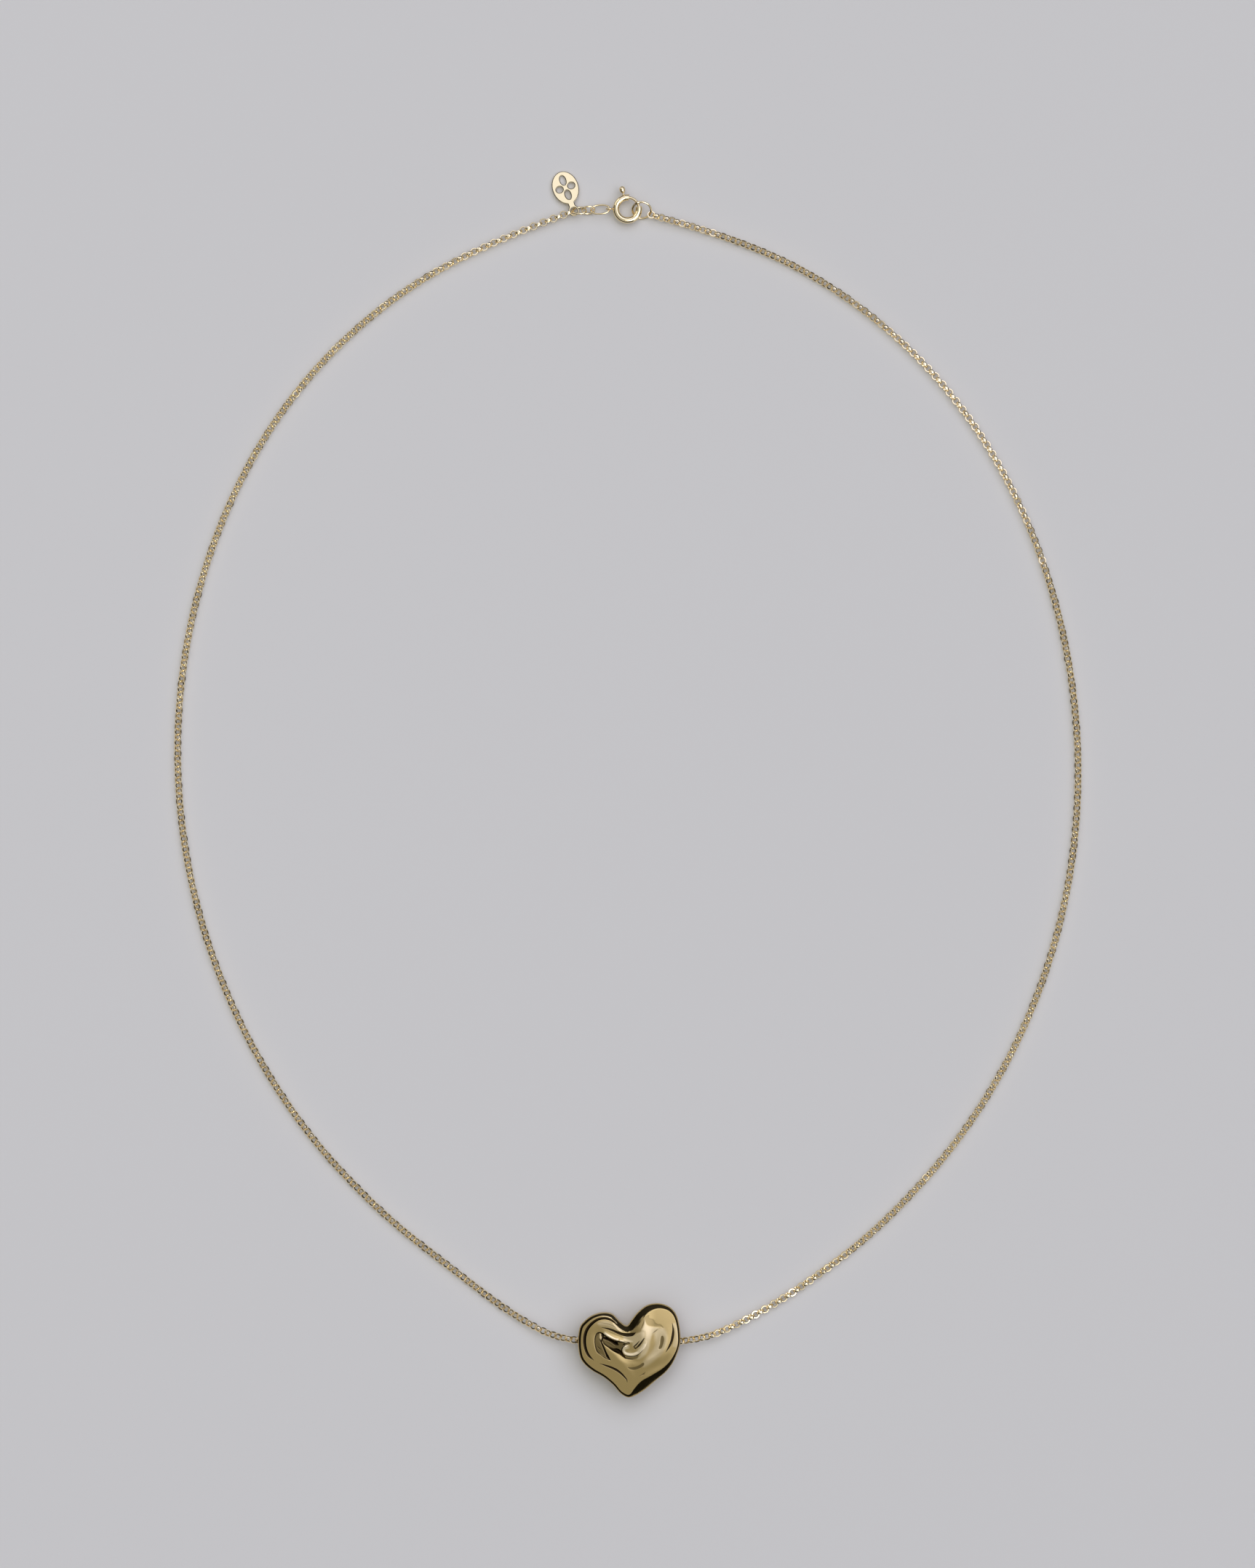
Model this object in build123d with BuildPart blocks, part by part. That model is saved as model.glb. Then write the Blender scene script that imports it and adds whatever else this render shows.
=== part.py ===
"""Necklace with a cast heart bead on a fine belcher chain and a spring ring clasp.

Millimetres, +Z up. The necklace lies on the plane z = 0, closed, and the origin is under the
middle of its loop. Seen from above, the heart is at the front (-Y) and the clasp at the back (+Y).
"""

import math
import os

from build123d import *

# Chain, as one tube of the links' outer diameter
chain_diameter = 1.3
chain_end_gap = 0.2
jump_hook_angle = -27.0
eyelet_hook_angle = 200.0

# Heart bead
heart_width = 16.2
heart_height = 14.8
heart_thickness = 5.0
heart_wall_share = 0.7
heart_crown_drop_share = 0.12
heart_foot_round = 0.6
heart_back_trim = 0.3
heart_x = 0.17
heart_y = -89.16
bore_play = 0.35
bore_rise = 0.9
bore_height = 2.3
bore_mouth_run = 1.7
bore_cut_margin = 1.0
heart_sections = 60
heart_profile_points = 44
heart_end_share = 0.03
heart_slope_step = 0.001

# Spring ring clasp and its gate
clasp_x = -0.09
clasp_y = 90.88
ring_outer_diameter = 4.65
ring_tube_diameter = 1.03
ring_bore_diameter = 0.62
ring_mouth_start = 11.0
ring_mouth_end = 83.0
gate_play = 0.08
gate_tip_depth = 5.0
gate_tail_length = 7.0
gate_travel = 50.0
knob_angle = 105.0
knob_head_diameter = 0.95
knob_head_length = 1.2
knob_neck_diameter = 0.36
knob_reach = 3.15
slot_play = 0.05
slot_end_play = 3.0
fixed_loop_angle = 180.0
fixed_loop_diameter = 1.2
fixed_loop_wire = 0.24
fixed_loop_seat = 0.07

# Jump ring that the clasp closes on
jump_diameter = 3.25
jump_wire = 0.33
jump_reach = 2.25
jump_angle = -5.0
jump_gap = 0.25
floor_gap = 0.02

# Oval links between the clasp and the tag
link_length = 2.9
link_width = 1.6
link_wire = 0.3
extender_angle = 183.0
extender_drop = 0.25

# Oval tag
tag_width = 4.15
tag_height = 5.3
tag_thickness = 0.4
tag_angle = 110.0
tag_chamfer = 0.07
eyelet_diameter = 1.7
eyelet_hole_diameter = 1.1
eyelet_setback = 0.15
tag_neck_width = 1.0
tag_neck_length = 0.45
tag_neck_round = 0.25

# Heart outline, from left to right. across is a share of the width, top and bottom are shares
# of the height, and the rounds are the widths of the rounded edge as shares of the height.
# columns: across, top, bottom, top_round, bottom_round
heart_outline = [
    (0.000, 0.592, 0.592, 0.030, 0.030),
    (0.018, 0.744, 0.436, 0.030, 0.030),
    (0.060, 0.810, 0.358, 0.030, 0.030),
    (0.146, 0.878, 0.280, 0.030, 0.030),
    (0.246, 0.906, 0.218, 0.032, 0.030),
    (0.338, 0.889, 0.136, 0.040, 0.030),
    (0.409, 0.813, 0.047, 0.050, 0.030),
    (0.477, 0.767, 0.000, 0.055, 0.035),
    (0.523, 0.826, 0.002, 0.055, 0.040),
    (0.580, 0.903, 0.030, 0.055, 0.060),
    (0.665, 0.975, 0.093, 0.055, 0.085),
    (0.765, 1.000, 0.184, 0.055, 0.090),
    (0.851, 0.984, 0.261, 0.050, 0.085),
    (0.922, 0.937, 0.358, 0.035, 0.050),
    (0.972, 0.845, 0.475, 0.030, 0.030),
    (1.000, 0.623, 0.623, 0.030, 0.030),
]
ACROSS, TOP, BOTTOM, TOP_ROUND, BOTTOM_ROUND = range(5)

# Folds of the cast relief. start, middle and end are (across, up) as shares of the heart's width
# and height, half_width is a share of the width, and rise a share of the thickness.
# columns: name, start, middle, end, half_width, rise
heart_folds = [
    ("rim groove, upper", (0.367, 0.810), (0.224, 0.857), (0.082, 0.748), 0.045, -0.07),
    ("rim groove, lower", (0.082, 0.748), (0.057, 0.592), (0.153, 0.397), 0.045, -0.07),
    ("long groove", (0.231, 0.748), (0.395, 0.700), (0.559, 0.697), 0.045, -0.06),
    ("upper ridge", (0.246, 0.693), (0.395, 0.619), (0.566, 0.639), 0.050, 0.06),
    ("deep valley", (0.210, 0.670), (0.381, 0.530), (0.594, 0.428), 0.075, -0.20),
    ("left valley", (0.200, 0.670), (0.253, 0.530), (0.317, 0.405), 0.055, -0.15),
    ("tongue", (0.480, 0.500), (0.530, 0.510), (0.600, 0.560), 0.070, 0.14),
    ("broad slope", (0.610, 0.450), (0.700, 0.620), (0.690, 0.800), 0.090, 0.07),
    ("oval dent", (0.833, 0.654), (0.819, 0.592), (0.797, 0.522), 0.045, -0.05),
    ("right groove", (0.915, 0.802), (0.925, 0.646), (0.858, 0.483), 0.045, -0.07),
    ("short groove", (0.495, 0.327), (0.559, 0.308), (0.637, 0.366), 0.045, -0.05),
    ("tip groove", (0.210, 0.366), (0.381, 0.280), (0.484, 0.180), 0.045, -0.07),
]
fold_steps = 10

# Chain route, from the tag to the heart and from the heart to the jump ring.
# columns: x, y, lift from the floor as a share of the way up to the bore
route_left = [
    (-25.1, 84.5, 0.0),
    (-41.7, 73.8, 0.0),
    (-55.2, 59.2, 0.0),
    (-64.7, 41.5, 0.0),
    (-70.2, 22.1, 0.0),
    (-71.6, 2.0, 0.0),
    (-68.9, -17.9, 0.0),
    (-62.2, -36.8, 0.0),
    (-51.9, -54.0, 0.0),
    (-39.3, -67.6, 0.0),
    (-28.0, -76.4, 0.0),
    (-18.2, -83.9, 0.05),
]
route_right = [
    (18.7, -84.7, 0.05),
    (28.5, -78.7, 0.0),
    (40.4, -69.6, 0.0),
    (53.7, -54.8, 0.0),
    (63.8, -36.8, 0.0),
    (69.8, -17.1, 0.0),
    (71.6, 3.3, 0.0),
    (69.2, 23.9, 0.0),
    (62.7, 43.6, 0.0),
    (52.1, 61.2, 0.0),
    (37.5, 75.5, 0.0),
    (19.5, 85.8, 0.0),
]
route_arc_share = 0.45

# Extender links, from the clasp to the tag. columns: length as a share of link_length,
# play in the link before as a share of the wire, roll in degrees
extender_rows = [
    (1.00, 0.0, 25.0),
    (0.67, 1.8, -50.0),
    (0.72, 2.1, 47.0),
]

# Petals of the pierced tag. columns: place across and up, half width and half height,
# all as shares of the tag's half width or half height
tag_petals = [
    (0.0, 0.46, 0.22, 0.30),
    (0.0, -0.46, 0.22, 0.30),
    (-0.47, 0.0, 0.27, 0.20),
    (0.47, 0.0, 0.27, 0.20),
]


def in_plan(x, y, angle, distance):
    """Point at a distance from (x, y), in the direction of an angle in degrees."""
    turn = math.radians(angle)
    return (x + distance * math.cos(turn), y + distance * math.sin(turn))


def edge_station(across):
    """Station of a share of the width. Even stations crowd towards the left and right ends."""
    return math.acos(1 - 2 * across) / math.pi


def section_station(k):
    """Station of a section, starting a little way in from the heart's left and right ends."""
    return heart_end_share + (1 - 2 * heart_end_share) * k / heart_sections


def outline_value(station, column):
    """A column of the heart's outline at a station, on a smooth curve through its rows."""
    places = [edge_station(row[ACROSS]) for row in heart_outline]
    values = [row[column] for row in heart_outline]
    last = len(places) - 1
    k = 0
    while k < last - 1 and station > places[k + 1]:
        k += 1

    def slope(i):
        before = max(i - 1, 0)
        after = min(i + 1, last)
        return (values[after] - values[before]) / (places[after] - places[before])

    span = places[k + 1] - places[k]
    t = (station - places[k]) / span
    from_start = (2 * t**3 - 3 * t**2 + 1) * values[k] + (t**3 - 2 * t**2 + t) * slope(k) * span
    from_end = (3 * t**2 - 2 * t**3) * values[k + 1] + (t**3 - t**2) * slope(k + 1) * span
    return from_start + from_end


def fold_line(start, middle, end):
    """Corners of a bend through three points, in millimetres from the heart's lower left."""
    bend = [2 * m - (a + b) / 2 for a, m, b in zip(start, middle, end)]
    corners = []
    for i in range(fold_steps + 1):
        t = i / fold_steps
        across, up = [
            (1 - t) ** 2 * a + 2 * t * (1 - t) * m + t**2 * b for a, m, b in zip(start, bend, end)
        ]
        corners.append((across * heart_width, up * heart_height))
    return corners


def distance_to_run(x, y, start, end):
    """Distance in plan from a point to a straight run."""
    run_x = end[0] - start[0]
    run_y = end[1] - start[1]
    along = ((x - start[0]) * run_x + (y - start[1]) * run_y) / (run_x**2 + run_y**2)
    along = min(max(along, 0), 1)
    return math.hypot(x - start[0] - along * run_x, y - start[1] - along * run_y)


def relief(x, y, folds):
    """Rise of the cast folds over the plain crown at a place on the heart."""
    rise = 0
    for line, half_width, height in folds:
        off = min(distance_to_run(x, y, a, b) for a, b in zip(line, line[1:])) / half_width
        if off < 1:
            rise += height * (1 - off**2) ** 2
    return rise


def heart_section(station, folds):
    """Place along X and (y, z) points of the wall, top and wall of one section of the heart.

    The section starts and ends a little below the back, which is cut flat afterwards.
    """
    step = heart_slope_step
    across = (1 - math.cos(math.pi * station)) / 2
    x = across * heart_width
    top = outline_value(station, TOP) * heart_height
    bottom = outline_value(station, BOTTOM) * heart_height
    run = math.pi * step * math.sin(math.pi * station) * heart_width
    top_change = outline_value(station + step, TOP) - outline_value(station - step, TOP)
    bottom_change = outline_value(station + step, BOTTOM) - outline_value(station - step, BOTTOM)
    top_square = 1 / math.hypot(1, top_change * heart_height / run)
    bottom_square = 1 / math.hypot(1, bottom_change * heart_height / run)
    top_round = outline_value(station, TOP_ROUND) * heart_height
    bottom_round = outline_value(station, BOTTOM_ROUND) * heart_height
    wall = heart_wall_share * heart_thickness
    foot = min(heart_foot_round, (top - bottom) / 4)
    bevel = 1 - math.sqrt(0.5)

    crown_points = []
    for i in range(heart_profile_points + 1):
        y = bottom + (top - bottom) * (1 - math.cos(math.pi * i / heart_profile_points)) / 2
        from_top = (top - y) * top_square / top_round
        from_bottom = (y - bottom) * bottom_square / bottom_round
        inside = min(max(min(from_top, from_bottom), 0), 1)
        out_of_centre = (2 * across - 1) ** 2 + (2 * y / heart_height - 1) ** 2
        crown = heart_thickness * (1 - heart_crown_drop_share * out_of_centre)
        crown += relief(x, y, folds)
        crown_points.append((y, wall + (crown - wall) * math.sqrt(1 - (1 - inside) ** 2)))

    middle_of_wall = (wall + heart_foot_round) / 2
    first_wall = [
        (bottom + foot, -heart_back_trim),
        (bottom + foot * bevel, heart_foot_round * bevel),
        (bottom, heart_foot_round),
        (bottom, middle_of_wall),
    ]
    last_wall = [
        (top, middle_of_wall),
        (top, heart_foot_round),
        (top - foot * bevel, heart_foot_round * bevel),
        (top - foot, -heart_back_trim),
    ]
    return x, first_wall + crown_points + last_wall


# The heart is lofted through upright sections from left to right, each one curve over the
# walls and the relief, closed by a line below the back. The back is cut flat at the floor,
# and the bore runs along X through it.
bore_diameter = chain_diameter + 2 * bore_play
heart_left = heart_x - heart_width / 2
heart_low = heart_y - heart_height / 2
bore_y = heart_y + bore_rise
fold_runs = [
    (fold_line(start, middle, end), half_width * heart_width, rise * heart_thickness)
    for name, start, middle, end, half_width, rise in heart_folds
]

sections = [heart_section(section_station(k), fold_runs) for k in range(heart_sections + 1)]
even_spacing = [i / (len(sections[0][1]) - 1) for i in range(len(sections[0][1]))]


def upright_plane(x, y, z):
    """Plane square to X, with its own x axis along Y."""
    return Plane(origin=(x, y, z), x_dir=(0, 1, 0), z_dir=(1, 0, 0))


with BuildPart() as heart_bead:
    for section_x, profile in sections:
        with BuildSketch(upright_plane(heart_left + section_x, heart_low, 0)):
            with BuildLine():
                add(Edge.make_spline([(y, z, 0) for y, z in profile], parameters=even_spacing))
                Line(profile[-1], profile[0])
            make_face()
    loft()
    split(bisect_by=Plane.XY)
    with BuildSketch(upright_plane(heart_left - bore_cut_margin, bore_y, bore_height)):
        Circle(bore_diameter / 2)
    extrude(amount=heart_width + 2 * bore_cut_margin, mode=Mode.SUBTRACT)
heart_bead.part.label = "heart_bead"


# The jump ring lies over the gate and under the ring's body, so it is tilted about the line
# from the clasp's centre to its own, and the clasp rests that much higher.
ring_radius = (ring_outer_diameter - ring_tube_diameter) / 2
gate_wire = ring_bore_diameter - 2 * gate_play
jump_radius = (jump_diameter - jump_wire) / 2
crossing_along = (jump_reach**2 + ring_radius**2 - jump_radius**2) / (2 * jump_reach)
crossing_aside = math.sqrt(ring_radius**2 - crossing_along**2)
under_body = (ring_tube_diameter + jump_wire) / 2 + jump_gap
over_gate = (gate_wire + jump_wire) / 2 + jump_gap
jump_slope = (under_body + over_gate) / (2 * crossing_aside)
jump_tilt = math.degrees(math.atan(jump_slope))
jump_z = jump_radius * math.sin(math.atan(jump_slope)) + jump_wire / 2 + floor_gap
clasp_z = jump_z - crossing_aside * jump_slope + under_body
clasp_axis = Axis((clasp_x, clasp_y, clasp_z), (0, 0, 1))


def around_clasp(angle):
    """Upright plane through the clasp's axis, with its x axis out along an angle."""
    outwards = Vector(1, 0, 0).rotate(Axis.Z, angle)
    return Plane(origin=clasp_axis.position, x_dir=outwards, z_dir=outwards.cross(Vector(0, 0, 1)))


# Spring ring body: a hollow ring with a mouth, a slot for the knob's neck and a soldered loop
body_arc = 360 - (ring_mouth_end - ring_mouth_start)
slot_width = knob_neck_diameter + 2 * slot_play
slot_spread = math.degrees(slot_width / 2 / ring_radius) + slot_end_play
slot_start = knob_angle - slot_spread
slot_arc = gate_travel + 2 * slot_spread
loop_radius = (fixed_loop_diameter - fixed_loop_wire) / 2
loop_reach = ring_outer_diameter / 2 + fixed_loop_diameter / 2 - fixed_loop_seat
loop_plane = around_clasp(fixed_loop_angle)

with BuildPart() as spring_ring:
    with BuildSketch(around_clasp(ring_mouth_end)):
        with Locations((ring_radius, 0)):
            Circle(ring_tube_diameter / 2)
    revolve(axis=clasp_axis, revolution_arc=body_arc)
    with BuildSketch(loop_plane):
        with Locations((loop_reach, 0)):
            Circle(fixed_loop_diameter / 2)
            Circle(fixed_loop_diameter / 2 - fixed_loop_wire, mode=Mode.SUBTRACT)
    extrude(amount=fixed_loop_wire / 2, both=True)
    with BuildSketch(around_clasp(ring_mouth_end)):
        with Locations((ring_radius, 0)):
            Circle(ring_bore_diameter / 2)
    revolve(axis=clasp_axis, revolution_arc=body_arc, mode=Mode.SUBTRACT)
    with BuildSketch(around_clasp(slot_start)):
        with Locations((ring_radius + ring_tube_diameter / 2, 0)):
            Rectangle(ring_tube_diameter, slot_width)
    revolve(axis=clasp_axis, revolution_arc=slot_arc, mode=Mode.SUBTRACT)
spring_ring.part.label = "spring_ring"

# Gate: an arc of wire that slides in the ring's bore, with the knob standing out of the slot
gate_start = ring_mouth_start - gate_tip_depth
gate_arc = knob_angle + gate_tail_length - gate_start

with BuildPart() as gate:
    with BuildSketch(around_clasp(gate_start)):
        with Locations((ring_radius, 0)):
            Circle(gate_wire / 2)
    revolve(axis=clasp_axis, revolution_arc=gate_arc)
    with BuildSketch(around_clasp(knob_angle)) as knob_side:
        with Locations((knob_reach, 0)):
            Ellipse(knob_head_length / 2, knob_head_diameter / 2)
        with Locations(((ring_radius + knob_reach) / 2, 0)):
            Rectangle(knob_reach - ring_radius, knob_neck_diameter)
        split(bisect_by=Plane.XZ)
    revolve(axis=Axis(clasp_axis.position, knob_side.workplanes[0].x_dir))
gate.part.label = "gate"

# Jump ring
jump_x, jump_y = in_plan(clasp_x, clasp_y, jump_angle, jump_reach)
jump_level = Plane(origin=(jump_x, jump_y, jump_z)).rotated((0, 0, jump_angle))
jump_lie = jump_level.rotated((jump_tilt, 0, 0))

with BuildPart() as jump_ring:
    with BuildSketch(Plane(origin=jump_lie.origin, x_dir=jump_lie.x_dir, z_dir=-jump_lie.y_dir)):
        with Locations((jump_radius, 0)):
            Circle(jump_wire / 2)
    revolve(axis=Axis(jump_lie.origin, jump_lie.z_dir))
jump_ring.part.label = "jump_ring"

# Oval links, each hooked in the one before, from the clasp's fixed loop to the tag's eyelet
hook_x, hook_y = in_plan(clasp_x, clasp_y, fixed_loop_angle, loop_reach)
hook_far = Vector(hook_x, hook_y, clasp_z)
extender_run = Vector(1, 0, 0).rotate(Axis.Z, extender_angle)
extender_links = []
link_ends = []
for row, (length_share, play_share, roll) in enumerate(extender_rows):
    length = length_share * link_length
    near_end = hook_far - extender_run * (play_share * link_wire)
    far_end = near_end + extender_run * length
    if row == 0:
        far_end -= Vector(0, 0, extender_drop)
    run = (far_end - near_end).normalized()
    face_up = run.cross(Vector(0, 0, 1)).cross(run)
    lie = Plane(origin=(near_end + far_end) / 2, x_dir=run, z_dir=face_up).rotated((roll, 0, 0))
    straight = (length - link_width) / 2
    with BuildPart() as link:
        with BuildLine(lie) as oval:
            Line((-straight, -link_width / 2), (straight, -link_width / 2))
            CenterArc((straight, 0), link_width / 2, -90, 180)
            Line((straight, link_width / 2), (-straight, link_width / 2))
            CenterArc((-straight, 0), link_width / 2, 90, 180)
        with BuildSketch(oval.wires()[0] ^ 0):
            Circle(link_wire / 2)
        sweep(path=oval.wires()[0])
    link.part.label = f"extender_link_{row + 1}"
    extender_links.append(link.part)
    link_ends.append((near_end, far_end))
    hook_far = far_end

# Tag: an oval plate with four petal openings, hung on the last link by its eyelet.
# It leans down from the eyelet until its far end reaches the floor.
eyelet_centre = link_ends[-1][1] - extender_run * eyelet_setback
tag_reach = eyelet_diameter / 2 + tag_neck_length + tag_height
tag_lean = math.degrees(math.asin((eyelet_centre.Z - tag_thickness / 2 - floor_gap) / tag_reach))
tag_lie = Plane(origin=eyelet_centre).rotated((0, 0, tag_angle - 90)).rotated((-tag_lean, 0, 0))
plate_rise = eyelet_diameter / 2 + tag_neck_length + tag_height / 2

with BuildPart() as tag:
    with BuildSketch(tag_lie.offset(-tag_thickness / 2)) as tag_outline:
        Circle(eyelet_diameter / 2)
        with Locations((0, plate_rise / 2)):
            Rectangle(tag_neck_width, plate_rise)
        with Locations((0, plate_rise)):
            Ellipse(tag_width / 2, tag_height / 2)
        Circle(eyelet_hole_diameter / 2, mode=Mode.SUBTRACT)
        neck_sides = tag_outline.vertices().filter_by(
            lambda corner: math.isclose(abs(corner.X), tag_neck_width / 2, abs_tol=0.001)
        )
        fillet(neck_sides, tag_neck_round)
        for across, up, petal_width, petal_height in tag_petals:
            with Locations((across * tag_width / 2, plate_rise + up * tag_height / 2)):
                Ellipse(
                    petal_width * tag_width / 2, petal_height * tag_height / 2, mode=Mode.SUBTRACT
                )
    extrude(amount=tag_thickness)
    tag_face = tag.faces().sort_by(Axis(tag_lie.origin, tag_lie.z_dir))[-1]
    chamfer(tag_face.outer_wire().edges(), tag_chamfer)
tag.part.label = "tag"

# Chain: straight runs joined by arcs as large as the runs allow, through the heart's bore
floor_level = chain_diameter / 2
bore_level = bore_height - bore_play / 2
left_mouth = (heart_left - bore_mouth_run, bore_y, 1.0)
right_mouth = (heart_left + heart_width + bore_mouth_run, bore_y, 1.0)
jump_off = jump_diameter / 2 + chain_end_gap
eyelet_off = eyelet_diameter / 2 + chain_end_gap
from_tag = (*in_plan(eyelet_centre.X, eyelet_centre.Y, eyelet_hook_angle, eyelet_off), 0.0)
to_jump = (*in_plan(jump_x, jump_y, jump_hook_angle, jump_off), 0.0)
route_rows = [from_tag] + route_left + [left_mouth, right_mouth] + route_right + [to_jump]
route = [
    Vector(x, y, floor_level + lift * (bore_level - floor_level)) for x, y, lift in route_rows
]


def corner_radius(before, corner, after):
    """Radius of the arc at a corner of the route, from its shorter run and half its turn."""
    shorter = min((corner - before).length, (after - corner).length)
    half_turn = math.radians((corner - before).get_angle(after - corner)) / 2
    return route_arc_share * shorter / math.tan(half_turn)


chain_radii = [corner_radius(*route[i - 1 : i + 2]) for i in range(1, len(route) - 1)]

with BuildPart() as chain:
    with BuildLine() as chain_path:
        FilletPolyline(*route, radius=chain_radii)
    with BuildSketch(chain_path.wires()[0] ^ 0):
        Circle(chain_diameter / 2)
    sweep(path=chain_path.wires()[0])
chain.part.label = "chain"

chain_length = chain_path.wires()[0].length
chain_section = math.pi * chain_diameter**2 / 4
print("chain radii", [round(radius, 1) for radius in chain_radii])
print("chain length", round(chain_length, 1))
print("section times length", round(chain_section * chain_length, 2))
print("chain volume", round(chain.part.volume, 2))

pieces = [heart_bead.part, chain.part, spring_ring.part, gate.part, jump_ring.part, tag.part]
os.makedirs("parts", exist_ok=True)
for piece in pieces + extender_links:
    export_step(piece, f"parts/{piece.label}.step")
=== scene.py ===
"""Necklace with a cast heart bead on a fine belcher chain, closed and laid on a pale floor.

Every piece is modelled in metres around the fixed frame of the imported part. The heart comes from
a table of its outline and a table of its folds, the chain from one pair of links repeated along
its route, and the clasp, the oval links and the tag from spins, extrusions and cuts.
"""

import math

import bpy
import numpy as np
from mathutils import Matrix, Vector


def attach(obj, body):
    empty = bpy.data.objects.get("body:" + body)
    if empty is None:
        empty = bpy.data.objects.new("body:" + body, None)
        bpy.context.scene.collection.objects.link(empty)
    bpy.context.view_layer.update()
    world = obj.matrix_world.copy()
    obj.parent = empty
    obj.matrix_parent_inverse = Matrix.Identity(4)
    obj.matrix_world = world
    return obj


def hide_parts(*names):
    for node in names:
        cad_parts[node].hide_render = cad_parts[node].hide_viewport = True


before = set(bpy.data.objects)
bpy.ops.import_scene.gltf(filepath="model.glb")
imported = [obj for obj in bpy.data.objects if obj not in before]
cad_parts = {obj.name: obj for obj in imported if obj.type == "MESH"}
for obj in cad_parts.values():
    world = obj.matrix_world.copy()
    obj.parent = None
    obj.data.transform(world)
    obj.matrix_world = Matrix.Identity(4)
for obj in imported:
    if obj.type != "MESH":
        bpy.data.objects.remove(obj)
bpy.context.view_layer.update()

bl_info = {
    "name": "Heart Bead Necklace",
    "version": (1, 0, 0),
    "blender": (4, 5, 0),
    "location": "View3D > Sidebar > Necklace",
    "description": "Models a cast heart bead necklace around its packed frame",
    "category": "Object",
}

MM = 0.001
NECKLACE = "necklace"
GATE = "gate"

# Heart outline, from left to right. across is a share of the width, top and bottom are shares
# of the height, and the rounds are the widths of the rounded edge as shares of the height.
# columns: across, top, bottom, top_round, bottom_round
HEART_OUTLINE = [
    (0.000, 0.592, 0.592, 0.038, 0.038),
    (0.018, 0.744, 0.436, 0.038, 0.038),
    (0.060, 0.810, 0.358, 0.038, 0.038),
    (0.146, 0.878, 0.280, 0.038, 0.036),
    (0.246, 0.906, 0.218, 0.040, 0.034),
    (0.338, 0.889, 0.136, 0.050, 0.032),
    (0.409, 0.813, 0.047, 0.072, 0.032),
    (0.477, 0.767, 0.000, 0.086, 0.038),
    (0.523, 0.826, 0.002, 0.096, 0.046),
    (0.580, 0.903, 0.030, 0.092, 0.080),
    (0.665, 0.975, 0.093, 0.082, 0.110),
    (0.765, 1.000, 0.184, 0.062, 0.090),
    (0.851, 0.984, 0.261, 0.048, 0.070),
    (0.922, 0.937, 0.358, 0.040, 0.050),
    (0.972, 0.845, 0.475, 0.034, 0.034),
    (1.000, 0.623, 0.623, 0.032, 0.032),
]
ACROSS, TOP, BOTTOM, TOP_ROUND, BOTTOM_ROUND = range(5)

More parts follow.
